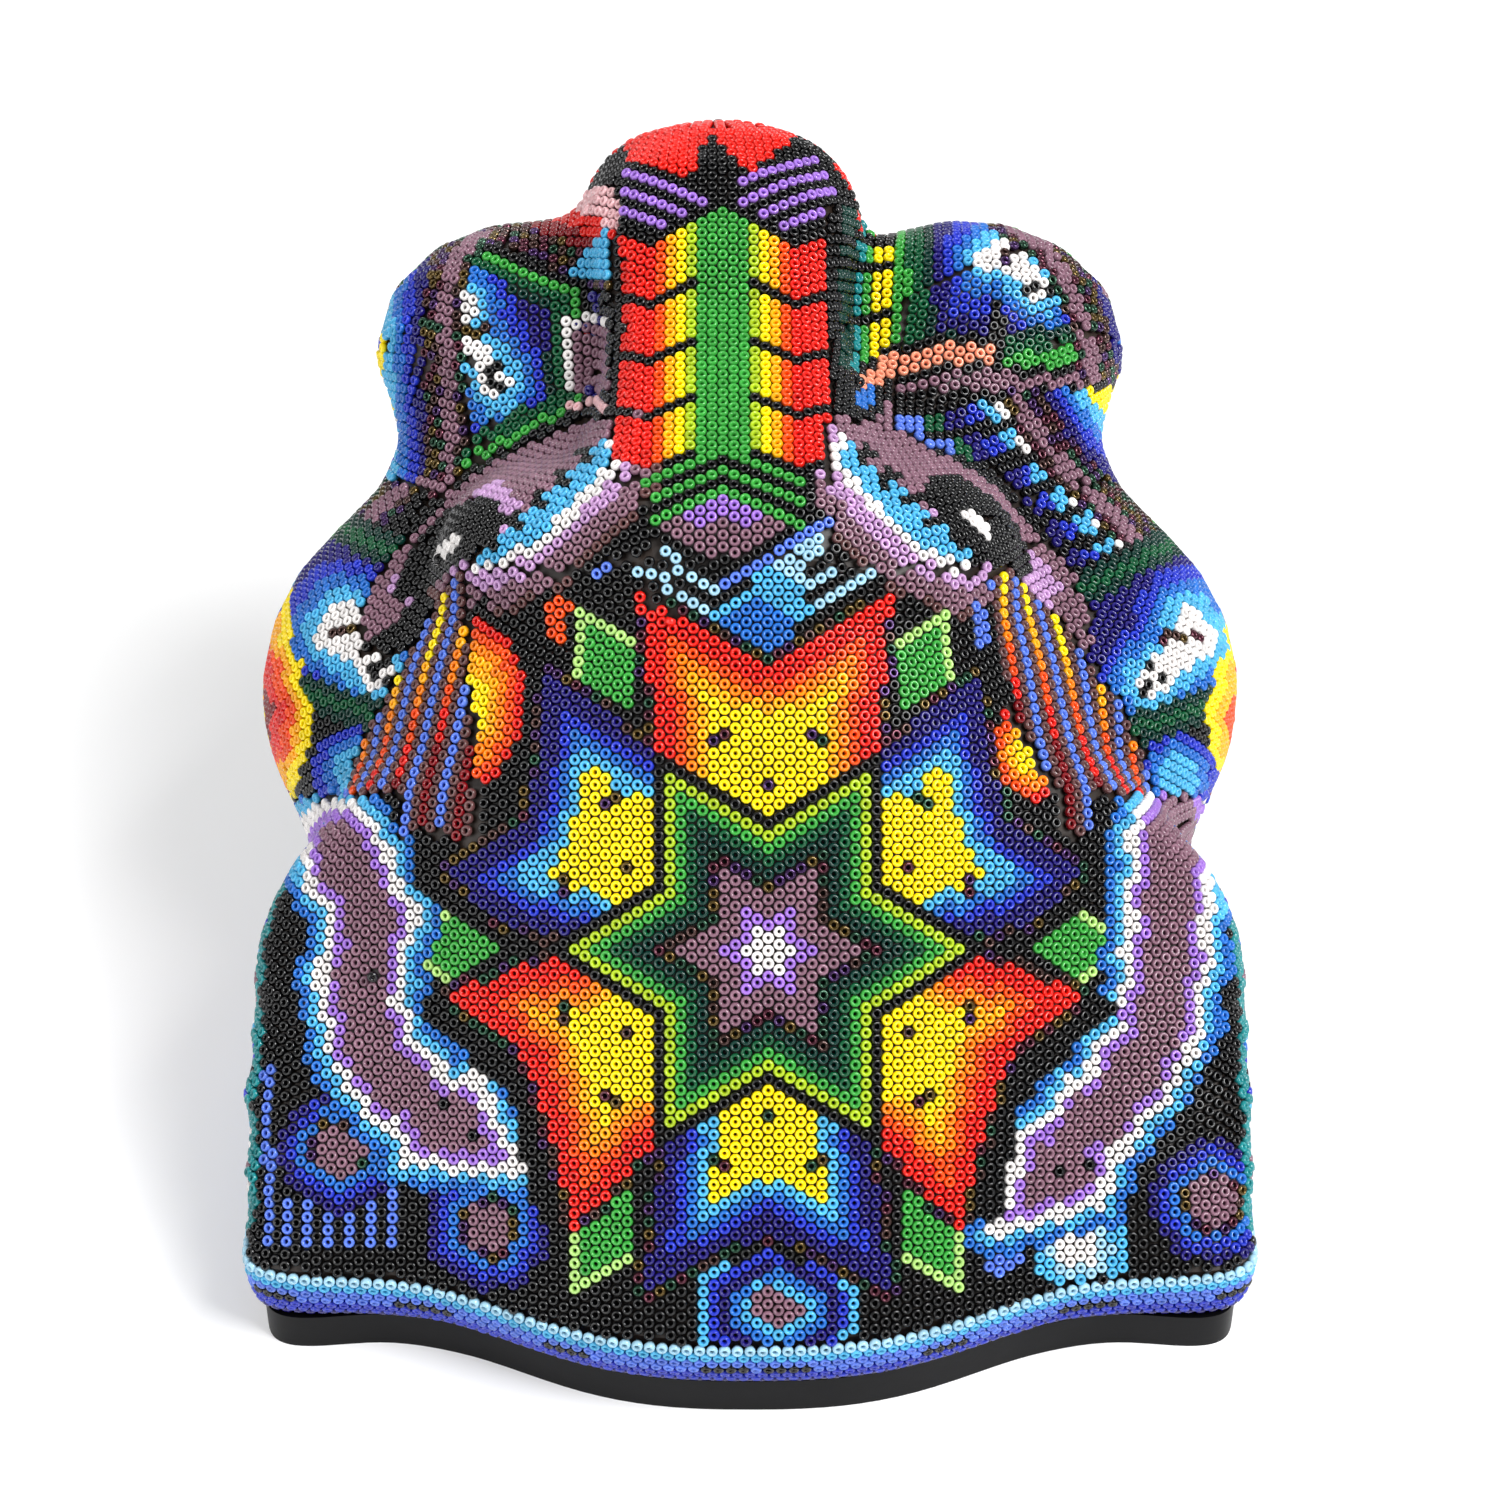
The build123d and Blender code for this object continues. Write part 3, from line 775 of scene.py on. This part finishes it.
def paint_eyes(paint):
    """Pale eyelids with a dark lash line, and an almond eye beyond it."""
    for name, hand in (("right", 1), ("left", -1)):
        x = paint.s if hand > 0 else -(paint.s + left_eye_shift)
        y = paint.r
        lash_gap, along, side = distance_to_path(x, y, lash)
        core_gap = distance_to_path(x, y, lid_core)[0]
        skin_round = paint.of("beads_brow", "beads_nape_ground", "beads_eye_" + name) & paint.seen
        skin_round &= (paint.field == "nape") | (paint.field == "bridge")
        skin_round &= (paint.colour == code["black"]) & (paint.s * hand > 12) & (paint.r > 124)
        own = paint.field == "eye_" + name
        paint.put(own, "black")
        lid = (own | skin_round) & (side < 0) & ~petal_mask(paint)
        paint.bands(lid & (core_gap < 12.2), core_gap, lid_colours)
        ball = own & (side > 0)
        wide = 5.2 + 3.0 * np.exp(-((along - 27) / 11) ** 2)
        paint.bands(ball, lash_gap - wide, ((0, "orchid"), (2.6, "mauve"), (99, "black")))
        paint.put(ball & (lash_gap < wide) & ((along < 20) | (along > 47)), "mauve")
        out = 0.0 if hand > 0 else 4.0
        down, over = (x - 38.9 - out) - (y - 140.3 + out), (x - 38.9 - out) + (y - 140.3 + out)
        paint.put(ball & (np.hypot(down / 16.5, over / 6.8) < 1.0), "black")
        paint.put(ball & (np.hypot(down / 4.4, over / 1.7) < 1.0), "white")
        dash = (along % 5.4 < 2.2) & (lash_gap < 1.5) & (along > 3) & (along < 34)
        paint.put(own & dash, "black")


# --- muzzle pads and cheeks ---


def paint_flower(paint, on, dx, dy, size):
    """A white flower with dark marks on a glow of pale blue, blue and royal."""
    dx, dy = dx / size, dy / size
    heads = ((-5.0, 2.2, 2.6), (-1.0, 4.6, 3.4), (1.8, 1.2, 3.2), (4.6, -2.2, 3.0), (7.2, -4.4, 3.0))
    level = np.minimum.reduce([np.hypot(dx - x, dy - y) - reach for x, y, reach in heads])
    paint.bands(on & (level < 7.5), level, ((0, "white"), (2.6, "sky"), (5.0, "blue"), (7.5, "royal")))
    paint.put(on & (np.abs(dx + 1.6) < 0.95) & (np.abs(dy - 0.5) < 4.4), "lustre")
    for x, y in ((6.4, -2.8), (4.6, -5.2), (8.6, -5.4)):
        paint.put(on & (np.hypot(dx - x, dy - y) < 1.25), "black")


def paint_muzzle(paint):
    """Whisker pads: a white flower in blue, framed in green, with bars by the nose and arcs below."""
    on = paint.face("right")
    x, y = paint.s, paint.r
    paint.put(on, "black")
    inner = on & (y > 166.8) & (x > 24)
    frame = np.minimum((x - 25.0) * 0.92, (y - 167.6 - 0.10 * np.maximum(x - 42, 0)) * 1.1)
    paint.bands(inner, frame, pad_frame)
    paint_flower(paint, inner & (frame > 5.6), x - 44.0, y - 183.4, 0.78)
    paint.put(inner & (np.abs(x - 42.2 - 0.06 * (175 - y)) < 0.95) & (y < 178), "black")
    bar = on & (x > 15.6) & (x < 25.6) & (y > 166.5) & (y < 194)
    paint.bands(bar, x + 0.06 * (193 - y), ((18.9, "pine"), (20.6, "teal"), (22.3, "green"), (24.4, "yellow"),
                                           (27, "green")))
    for level, slope in ((188.6, 0.0), (183.8, 0.05), (175.5, 0.4)):
        paint.put(bar & (np.abs(y - level - slope * (x - 20)) < 0.95) & (x < 24.8), "black")
    salmon = distance_to_path(x, y, ((20.6, 164.6), (24.5, 167.7), (30.5, 169.4), (40.0, 169.4)))[0]
    paint.put(on & (salmon < 2.9), "black")
    paint.put(on & (salmon < 1.7), "salmon")
    paint.put(on & (np.hypot(x - 19.9, y - 162) < 1.9), "blue")
    bend = ((23.7, 158.6), (25.8, 161.6), (30.5, 163.7), (37.2, 164.6), (42.7, 164.6))
    arc = distance_to_path(x, y, bend)[0]
    paint.put(on & (arc < 1.7), "mauve")
    paint.put(on & (distance_to_path(x, y, ((42.7, 163.8), (58.5, 164.8)))[0] < 1.1), "mauve")


pad_frame = ((1.6, "green"), (4.2, "deep_green"), (5.6, "pine"), (8.6, "navy"), (99, "royal"))


def paint_left_muzzle(paint):
    """The left pad, which turns further away and carries its own arrangement."""
    on = paint.face("left")
    x, y = -paint.s, paint.r
    paint.put(on, "black")
    frame = np.minimum(177.6 + (x - 24.7) * 0.487 - y, y - 158.6 + (x - 32.3) * 0.532) * 0.9
    frame = np.minimum(frame, x - 29.0)
    inner = on & (frame > 0) & (y > 146)
    paint.bands(inner, frame, pad_frame)
    paint_flower(paint, inner & (frame > 4.2), (y - 171.5) * -0.8, x - 46.6, 0.80)
    over = on & (y > 150) & (177.6 + (x - 24.7) * 0.487 < y)
    rim = (y - 177.6 - (x - 24.7) * 0.487) * 0.9
    paint.bands(over, rim, ((1.6, "black"), (6.5, "lustre"), (9.0, "dark_red"), (12.0, "red"), (99, "pink")))
    paint.put(on & inside_shape(x, y, ((24, 191), (24, 181), (32, 182.5))), "sky")
    patch = on & (x > 24.5) & (x < 32) & (y > 162.5) & (y < 175.5)
    paint.put(patch, "white")
    paint.put(patch & (x < 30.6) & (y < 173.8), "mauve")
    for level, name in ((160.6, "pink"), (157.4, "sky"), (154.2, "blue")):
        paint.put(on & (np.abs(y - level) < 1.0) & (x > 20) & (x < 31), name)
    paint.put(on & (np.abs(x - 38.5) < 3.4) & (np.abs(y - 148.6 - 0.6 * (x - 38.5)) < 2.4), "blue")


crest = ((41.0, 193.6), (45.5, 190.2), (49.7, 188.0), (53.2, 183.0), (55.6, 178.0), (57.6, 171.5),
         (58.6, 165.0))
left_crest = ((44.0, 192.0), (50.5, 185.0), (51.8, 176.0), (51.5, 164.0), (51.2, 154.0), (51.0, 146.0))
valley = ((45.7, 161.2), (47.8, 157.8), (50.4, 153.5), (54.4, 149.0), (60.1, 143.8), (64.3, 139.2),
          (70.0, 133.5))
left_valley = ((42.0, 151.0), (51.0, 147.0), (57.0, 148.5), (64.0, 142.0), (70.0, 134.5))
ridge = ((1.2, "mauve"), (4.0, "lustre"), (5.6, "navy"), (7.2, "royal"), (8.8, "blue"), (10.8, "sky"),
         (99, "yellow"))


def paint_crests(paint):
    """Dark lustre ridges round each pad and down each cheek, with blue and yellow outside them."""
    for name, hand, paths in (("right", 1, ((crest, 164.0, 195.0), (valley, 134.0, 163.0))),
                              ("left", -1, ((left_crest, 148.0, 190.0), (left_valley, 134.0, 148.0)))):
        on = paint.face(name)
        x, y = paint.s * hand, paint.r
        for path, low, high in paths:
            gap, _, side = distance_to_path(x, y, path)
            here = on & (y > low) & (y < high)
            paint.bands(here & (side > 0), gap, ridge)
            paint.put(here & (gap < 1.2), "mauve")
            paint.put(here & (side < 0) & (gap < 2.6) & (gap > 1.2), "lustre")


stripe_steps = ((0.24, "periwinkle"), (0.40, "deep_green"), (0.55, "navy"), (0.70, "royal"), (0.84, "sky"),
                (1.01, "white"))


def paint_stripes(paint):
    """Short two-row stripes that run from the eye's corner out to the ridge."""
    rows = (((25.8, 156.5), (45.2, 160.1)), ((30.0, 152.3), (48.4, 154.9)), ((44.0, 148.0), (52.4, 149.8)),
            ((47.0, 143.2), (56.6, 145.3)), ((50.8, 138.7), (61.2, 141.6)), ((54.5, 133.6), (64.5, 137.4)))
    on = paint.face("right")
    x, y = paint.s, paint.r
    gap, _, side = distance_to_path(x, y, valley)
    hollow = on & (side < 0) & (gap > 1.2) & (y < 163) & (x > 24) & (x + y > 179)
    paint.put(hollow, "black")
    for start, end in rows:
        gap, along, _ = distance_to_path(x, y, (start, end))
        share = along / np.hypot(end[0] - start[0], end[1] - start[1])
        if start[0] > 40:
            share = 0.42 + share * 0.58
        paint.bands(hollow & (gap < 1.75), share, stripe_steps)


cheek_frame = ((0, "black"), (1.8, "pine"), (3.6, "deep_green"), (5.2, "pine"), (99, "navy"))


def paint_cheeks(paint):
    """Cheeks: the same flower in a green frame, with a flame down the outer edge."""
    for name, hand in (("right", 1), ("left", -1)):
        on = paint.face(name)
        x = paint.s if hand > 0 else -paint.s + 5.5
        y = paint.r if hand > 0 else paint.r - 1.0
        on &= (y < 138 + 0.5 * (x - 66)) & (y < 146)
        paint.put(on, "navy")
        frame = np.minimum((y - 102.6 - 0.35 * (x - 66)) * 0.9, (137.5 - y + 0.5 * (x - 66)) * 0.85)
        paint.bands(on, frame, cheek_frame)
        paint_flower(paint, on & (frame > 5.2), -(y - 121.0) * 0.9 - 1.0, (x - 72.4) * 0.9, 0.80)
        foot = on & (frame <= 0) & (y < 112)
        oval = np.hypot((x - 72.8) / 5.0, (y - 97.5) / 5.4)
        paint.bands(foot & (oval < 1.4), oval, ((0.7, "sky"), (1.05, "blue"), (1.4, "royal")))
        edge = 80.4 - 4.0 * np.clip(1 - np.abs(y - 106) / 14, 0, 1) + 1.2 * np.abs((y / 7.0) % 1 * 2 - 1)
        burn = x - edge - (0 if hand > 0 else 2.4)
        paint.bands(on & (burn > 0) & (y < 129), burn, ((1.9, "yellow"), (3.4, "amber"), (5.0, "vermilion"),
                                                       (6.8, "red"), (8.6, "dark_red"), (99, "deep_green")))


def tangent_frame(normal):
    """Two directions across a surface, the second one as upright as it can be."""
    right = Vector((0, 0, 1)).cross(normal).normalized()
    return right, normal.cross(right)


sun = ((2.8, "yellow"), (5.2, "white"), (7.6, "sky"), (10.0, "blue"), (12.4, "royal"), (15.0, "navy"),
       (16.8, "black"), (18.8, "lustre"), (20.8, "mauve"), (22.8, "lustre"), (26.0, "deep_green"),
       (29.0, "green"), (31.0, "deep_green"), (33.0, "pine"), (60, "navy"))
flame = ((5.0, "yellow"), (7.6, "amber"), (10.0, "vermilion"), (13.0, "red"), (16.0, "dark_red"),
         (18.4, "deep_green"), (20.2, "black"), (22.4, "navy"), (24.8, "royal"), (27.2, "blue"),
         (29.6, "sky"), (32.0, "blue"), (34.4, "royal"), (60, "navy"))


def paint_flanks(paint):
    """Rosettes with scalloped rings that cover a flank, each bead in the rings of its nearest one."""
    for name, s in (("right", 1), ("left", -1)):
        flank = paint.of("beads_cheek_" + name, "beads_muzzle_" + name, "beads_fan_" + name,
                         "beads_eye_" + name) & ~paint.seen
        best = np.full(len(flank), 1e3)
        for centre, count, steps in ((at(s * 90, 118, 62), 8, flame), (at(s * 62, 168, 54), 8, sun),
                                     (at(s * 70, 163, 104), 6, sun), (at(s * 34, 190, 112), 8, sun)):
            level, far = scalloped(paint, centre, count)
            here = flank & (far < best)
            best = np.where(here, far, best)
            paint.bands(here, level, steps)


def scalloped(paint, centre, count, wave=0.13):
    """Distance from a point of the skin, drawn in and out by petals, and the plain distance."""
    nearest = int(np.argmin(((paint.place - np.array(centre)) ** 2).sum(axis=1)))
    right, up = tangent_frame(Vector(paint.normal[nearest]))
    offset = paint.place - paint.place[nearest]
    far = np.sqrt((offset ** 2).sum(axis=1))
    turn = np.arctan2(offset @ np.array(up), offset @ np.array(right))
    return far * (1 + wave * np.cos(count * turn) * np.clip(20 / (far + 8), 0, 1)), far


chin_rows = ((3.0, "black"), (6.6, "red"), (8.6, "dark_red"), (10.4, "black"), (12.6, "orange"),
             (15.0, "yellow"), (17.4, "lime"), (20.0, "green"), (22.4, "deep_green"), (24.4, "black"),
             (27.0, "sky"), (30.0, "blue"), (33.0, "royal"), (99, "navy"))
throat_rows = ((2, "black"), (5, "royal"), (8, "sky"), (10, "white"), (13, "sky"), (16, "royal"),
               (18, "black"), (20, "red"), (22, "orange"), (24, "yellow"))


def paint_hidden_sides(paint):
    """Flanks, mouth, chin and throat."""
    paint_flanks(paint)
    chin, lip, throat = paint.of("beads_chin"), paint.of("beads_upper_lip"), paint.of("beads_throat")
    muzzle = paint.of("beads_muzzle_")
    jaw = paint.gap(chin, muzzle | lip)
    paint.bands(chin, jaw, chin_rows)
    upper = (muzzle | lip) & ~paint.seen
    mouth = paint.gap(upper, chin)
    paint.bands(upper & (mouth < 7.2), mouth, ((3.4, "red"), (5.2, "dark_red"), (7.2, "black")))
    paint.put(lip & (mouth >= 5.2), "pink")
    paint.put(lip & (np.abs(paint.side) < 1.2), "black")
    for hand in (1, -1):
        for row in range(3):
            for column in range(4):
                whisker_up = 104 + 6.5 * row - 1.2 * column
                dot = np.hypot(paint.side - hand * (27 + 7.0 * column), paint.up - whisker_up)
                paint.put(muzzle & ~paint.seen & (dot < 1.3) & (mouth > 7.2), "white")
    stripes = (paint.up + 3.0 * np.abs((paint.side / 12.0) % 1 * 2 - 1)) % 24
    paint.bands(throat, stripes, throat_rows)


band_rows = ("pale_blue", "sky", "periwinkle", "periwinkle", "royal", "royal", "navy", "navy")


def paint_band(paint):
    on = paint.field == "band"
    for row, name in enumerate(band_rows):
        paint.put(on & (paint.v == row), name)
    dash = (paint.u % 27.0) < 9.5
    paint.put(on & (paint.v == 3) & dash, "black")
    paint.put(on & (paint.v > 7), "navy")


def paint_all(layer):
    paint = Paint(layer)
    paint_hidden_sides(paint)
    paint_muzzle(paint)
    paint_left_muzzle(paint)
    paint_stripes(paint)
    paint_crests(paint)
    paint_cheeks(paint)
    paint_star(paint)
    paint_petals(paint)
    paint_diamonds(paint)
    paint_wing_sides(paint)
    paint_nape_ground(paint)
    paint_wings(paint)
    paint_fans(paint)
    paint_bridge(paint)
    paint_nose(paint)
    paint_brow(paint)
    paint_eyes(paint)
    paint_band(paint)
    return paint


# --- the beads as meshes ---
def bead_shape():
    """Vertices and faces of one bead, hole along Z, its waist at the middle."""
    outer, inner, half = bead_width / 2, bead_hole / 2, bead_height / 2
    profile = ((outer, 0.0), (outer * 0.88, half * 0.68), (outer * 0.64, half),
               (inner * 1.10, half * 0.60), (inner * 0.45, -half * 0.6), (outer * 0.72, -half))
    turns = np.arange(bead_sides) * 2 * pi / bead_sides
    points = [(radius * cos(t), radius * sin(t), z) for t in turns for radius, z in profile]
    rows = len(profile)
    faces = []
    for k in range(bead_sides):
        after = (k + 1) % bead_sides
        for row in range(rows):
            above = (row + 1) % rows
            faces.append((k * rows + row, after * rows + row, after * rows + above, k * rows + above))
    return np.array(points), np.array(faces)


def linear(written):
    """Linear light from a written colour."""
    share = np.asarray(written, float) / 255
    return np.where(share <= 0.04045, share / 12.92, ((share + 0.055) / 1.055) ** 2.4)


def smooth_normals(places, normals):
    """Normals averaged over each bead's near neighbours, so that the rows turn evenly."""
    tree = KDTree(len(places))
    for number, place in enumerate(places):
        tree.insert(place, number)
    tree.balance()
    even = []
    for place, normal in zip(places, normals):
        total = Vector((0, 0, 0))
        for _, number, gap in tree.find_range(place, even_reach):
            if normals[number].dot(normal) > 0.5:
                total += normals[number] * (5.2 - gap)
        even.append(total.normalized())
    return even


def bead_frames(normals, aheads):
    """Each bead's own axes, tilted a little from the skin as hand-set beads are."""
    normals = np.array(normals) + draw.normal(0, tilt_scatter, (len(normals), 3))
    normals /= np.linalg.norm(normals, axis=1, keepdims=True)
    aheads = np.array(aheads)
    x = np.cross(aheads, normals)
    x /= np.linalg.norm(x, axis=1, keepdims=True)
    y = np.cross(normals, x)
    return x, y, normals


def bead_mesh(name, places, frames, sizes, heights, colours, shiny):
    """One mesh of many beads, with a colour for each and a material for plain and for lustre glass."""
    points, faces = bead_shape()
    x, y, z = frames
    count = len(places)
    local = points[None, :, :] * np.stack([sizes, sizes, heights], axis=1)[:, None, :]
    spread = (local[..., 0:1] * x[:, None, :] + local[..., 1:2] * y[:, None, :]
              + local[..., 2:3] * z[:, None, :])
    corners = (places[:, None, :] + spread).reshape(-1, 3) * MM
    loops = (faces[None, :, :] + (np.arange(count) * len(points))[:, None, None]).reshape(-1)
    mesh = bpy.data.meshes.new(name)
    mesh.vertices.add(len(corners))
    mesh.vertices.foreach_set("co", corners.astype(np.float32).ravel())
    mesh.loops.add(len(loops))
    mesh.loops.foreach_set("vertex_index", loops.astype(np.int32))
    total = count * len(faces)
    mesh.polygons.add(total)
    mesh.polygons.foreach_set("loop_start", np.arange(total, dtype=np.int32) * 4)
    mesh.polygons.foreach_set("use_smooth", np.ones(total, bool))
    mesh.polygons.foreach_set("material_index", np.repeat(shiny.astype(np.int32), len(faces)))
    tint = mesh.color_attributes.new("bead_colour", "FLOAT_COLOR", "POINT")
    rgba = np.ones((count, len(points), 4), np.float32)
    rgba[..., :3] = colours[:, None, :]
    tint.data.foreach_set("color", rgba.ravel())
    add_bake_map(mesh, points, faces, count)
    mesh.update(calc_edges=True)
    mesh.validate()
    return mesh


def add_bake_map(mesh, points, faces, count):
    """Each bead gets a square of its own on a map named OFBake."""
    side = int(np.ceil(np.sqrt(count)))
    cell = np.stack([np.arange(count) % side, np.arange(count) // side], axis=1)
    flat = points[:, :2] / bead_width * 0.8 + 0.5
    spots = (cell[:, None, :] + flat[faces.reshape(-1)][None, :, :]) / side
    layer = mesh.uv_layers.new(name="OFBake")
    layer.data.foreach_set("uv", spots.astype(np.float32).ravel())


# --- materials ---


def plain_material(name, roughness, metallic=0.0):
    material = bpy.data.materials.new(name)
    material.use_nodes = True
    shader = material.node_tree.nodes["Principled BSDF"]
    shader.inputs["Roughness"].default_value = roughness
    shader.inputs["Metallic"].default_value = metallic
    return material, material.node_tree.nodes, material.node_tree.links, shader


def glass_material(name, roughness, metallic, coat):
    """Glass whose colour each bead carries, with the faint streaks of drawn glass."""
    material, nodes, links, shader = plain_material(name, roughness, metallic)
    shader.inputs["Coat Weight"].default_value = coat
    shader.inputs["Coat Roughness"].default_value = 0.06
    colour = nodes.new("ShaderNodeAttribute")
    colour.attribute_name = "bead_colour"
    noise = nodes.new("ShaderNodeTexNoise")
    noise.inputs["Scale"].default_value = 900
    ramp = nodes.new("ShaderNodeMapRange")
    ramp.inputs["To Min"].default_value = 0.88
    ramp.inputs["To Max"].default_value = 1.12
    scale = nodes.new("ShaderNodeVectorMath")
    scale.operation = "SCALE"
    links.new(noise.outputs["Fac"], ramp.inputs["Value"])
    links.new(colour.outputs["Color"], scale.inputs[0])
    links.new(ramp.outputs["Result"], scale.inputs["Scale"])
    links.new(scale.outputs["Vector"], shader.inputs["Base Color"])
    return material


def noise_material(name, dark, light, scale, roughness, bump, shine):
    """Two close tones mixed by noise, with a fine bump."""
    material, nodes, links, shader = plain_material(name, roughness)
    shader.inputs["Specular IOR Level"].default_value = shine
    where = nodes.new("ShaderNodeTexCoord")
    noise = nodes.new("ShaderNodeTexNoise")
    noise.inputs["Scale"].default_value = scale
    noise.inputs["Detail"].default_value = 6
    ramp = nodes.new("ShaderNodeValToRGB")
    ramp.color_ramp.elements[0].color = (*linear(dark), 1)
    ramp.color_ramp.elements[1].color = (*linear(light), 1)
    ramp.color_ramp.elements[0].position = 0.35
    ramp.color_ramp.elements[1].position = 0.7
    relief = nodes.new("ShaderNodeBump")
    relief.inputs["Strength"].default_value = bump
    relief.inputs["Distance"].default_value = 0.0006
    links.new(where.outputs["Object"], noise.inputs["Vector"])
    links.new(noise.outputs["Fac"], ramp.inputs["Fac"])
    links.new(ramp.outputs["Color"], shader.inputs["Base Color"])
    links.new(noise.outputs["Fac"], relief.inputs["Height"])
    links.new(relief.outputs["Normal"], shader.inputs["Normal"])
    return material


def dress(node, material):
    piece = frame["nodes"][node]
    piece.data.materials.clear()
    piece.data.materials.append(material)
    for polygon in piece.data.polygons:
        polygon.use_smooth = True


# --- putting the beads together ---


def split(numbers):
    """A field's beads in as many even shares as it takes to keep each mesh small."""
    shares = -(-len(numbers) // beads_in_a_piece)
    return np.array_split(numbers, shares)


def make_bead_pieces(layer, paint):
    normals = smooth_normals(layer.place, layer.normal)
    frames = bead_frames(normals, layer.ahead)
    count = len(layer.place)
    sizes = draw.normal(1.0, width_scatter, count).clip(0.95, 1.03)
    heights = draw.normal(0.97, height_scatter, count).clip(0.88, 1.0)
    places = np.array(layer.place) - np.array(normals) * (bead_height / 2 + set_in)
    written = np.array([palette[names[k]] for k in paint.colour], float)
    lustre = paint.colour == code["lustre"]
    written[lustre] = np.array(lustre_tints)[draw.integers(0, len(lustre_tints), lustre.sum())]
    colours = linear(written) * draw.normal(1.0, tint_scatter, (count, 1)).clip(0.8, 1.2)
    materials = [glass_material("opaque_glass", 0.16, 0.0, 0.15),
                 glass_material("lustre_glass", 0.14, 0.75, 0.5)]
    for number, node in enumerate(layer.skin.nodes):
        mine = np.flatnonzero(np.array(layer.node) == number)
        for share, chosen in enumerate(split(mine)):
            name = node + "_laid" + (f"_{share + 1}" if len(mine) > beads_in_a_piece else "")
            mesh = bead_mesh(name, places[chosen], [axis[chosen] for axis in frames], sizes[chosen],
                             heights[chosen], colours[chosen], lustre[chosen])
            for material in materials:
                mesh.materials.append(material)
            piece = bpy.data.objects.new(name, mesh)
            bpy.context.scene.collection.objects.link(piece)
            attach(piece, "root")
            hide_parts(node)


# --- light, floor and camera ---


def white_to_the_camera(material):
    """A pale surface that takes shadow, and shows whiter to the camera and in mirrors further out."""
    nodes, links = material.node_tree.nodes, material.node_tree.links
    shader = nodes["Principled BSDF"]
    shader.inputs["Base Color"].default_value = (floor_grey, floor_grey, floor_grey, 1)
    shader.inputs["Roughness"].default_value = 0.9
    shader.inputs["Specular IOR Level"].default_value = 0.1
    shader.inputs["Emission Color"].default_value = (1, 1, 1, 1)
    path = nodes.new("ShaderNodeLightPath")
    camera_or_glossy = nodes.new("ShaderNodeMath")
    camera_or_glossy.operation = "MAXIMUM"
    strength = nodes.new("ShaderNodeMath")
    strength.operation = "MULTIPLY"
    where = nodes.new("ShaderNodeTexCoord")
    away = nodes.new("ShaderNodeVectorMath")
    away.operation = "LENGTH"
    glow = nodes.new("ShaderNodeMapRange")
    glow.interpolation_type = "SMOOTHSTEP"
    glow.inputs["From Min"].default_value = glow_starts
    glow.inputs["From Max"].default_value = glow_full
    glow.inputs["To Min"].default_value = floor_glow
    glow.inputs["To Max"].default_value = far_glow
    links.new(where.outputs["Object"], away.inputs[0])
    links.new(away.outputs["Value"], glow.inputs["Value"])
    links.new(glow.outputs["Result"], strength.inputs[1])
    links.new(path.outputs["Is Camera Ray"], camera_or_glossy.inputs[0])
    links.new(path.outputs["Is Glossy Ray"], camera_or_glossy.inputs[1])
    links.new(camera_or_glossy.outputs[0], strength.inputs[0])
    links.new(strength.outputs[0], shader.inputs["Emission Strength"])


def make_floor():
    mesh = bpy.data.meshes.new("floor")
    corners = [(x * floor_half, y * floor_half, 0) for x, y in ((-1, -1), (1, -1), (1, 1), (-1, 1))]
    mesh.from_pydata(corners, [], [(0, 1, 2, 3)])
    floor = bpy.data.objects.new("floor", mesh)
    bpy.context.scene.collection.objects.link(floor)
    material, _, _, _ = plain_material("white_table", 0.9)
    white_to_the_camera(material)
    mesh.materials.append(material)


def make_world():
    world = bpy.data.worlds.new("studio")
    bpy.context.scene.world = world
    world.use_nodes = True
    nodes, links = world.node_tree.nodes, world.node_tree.links
    background = nodes["Background"]
    background.inputs["Color"].default_value = (1, 1, 1, 1)
    path = nodes.new("ShaderNodeLightPath")
    strength = nodes.new("ShaderNodeMapRange")
    strength.inputs["To Min"].default_value = room_light
    strength.inputs["To Max"].default_value = room_white
    links.new(path.outputs["Is Camera Ray"], strength.inputs["Value"])
    links.new(strength.outputs["Result"], background.inputs["Strength"])


def make_lamp(name, place, size, power):
    light = bpy.data.lights.new(name, "AREA")
    light.shape = "SQUARE"
    light.size = size
    light.energy = power
    lamp = bpy.data.objects.new(name, light)
    lamp.location = place
    aim = Vector((0, 0, 0.07)) - Vector(place)
    lamp.rotation_mode = "QUATERNION"
    lamp.rotation_quaternion = aim.to_track_quat("-Z", "Y")
    bpy.context.scene.collection.objects.link(lamp)


def make_camera():
    data = bpy.data.cameras.new("camera")
    data.lens = camera_lens
    data.sensor_width = 36
    camera = bpy.data.objects.new("camera", data)
    camera.location = eye_point * MM
    aim = view_centre - eye_point
    camera.rotation_mode = "QUATERNION"
    camera.rotation_quaternion = aim.to_track_quat("-Z", "Y")
    bpy.context.scene.collection.objects.link(camera)
    bpy.context.scene.camera = camera


# --- the whole scene ---
bead_nodes = sorted(name for name in frame["nodes"] if name.startswith("beads_"))
skin = Skin(bead_nodes)
layer = Layer(skin)
lay_band(layer)
layer.grow(lattice_seeds())
layer.fill()
paint = paint_all(layer)
make_bead_pieces(layer, paint)

dress("wax_coat", noise_material("dark_beeswax", (22, 13, 8), (40, 25, 14), 140, 0.5, 0.4, 0.5))
dress("core_shell", noise_material("raw_shell", (120, 92, 60), (150, 118, 80), 60, 0.8, 0.3, 0.5))
dress("plinth", noise_material("black_paint", (5, 5, 6), (11, 11, 12), 60, 0.42, 0.35, 0.15))

make_floor()
make_world()
for name, place, size, power in lamps:
    make_lamp(name, place, size, power)
make_camera()
bpy.context.scene.view_settings.view_transform = "Standard"
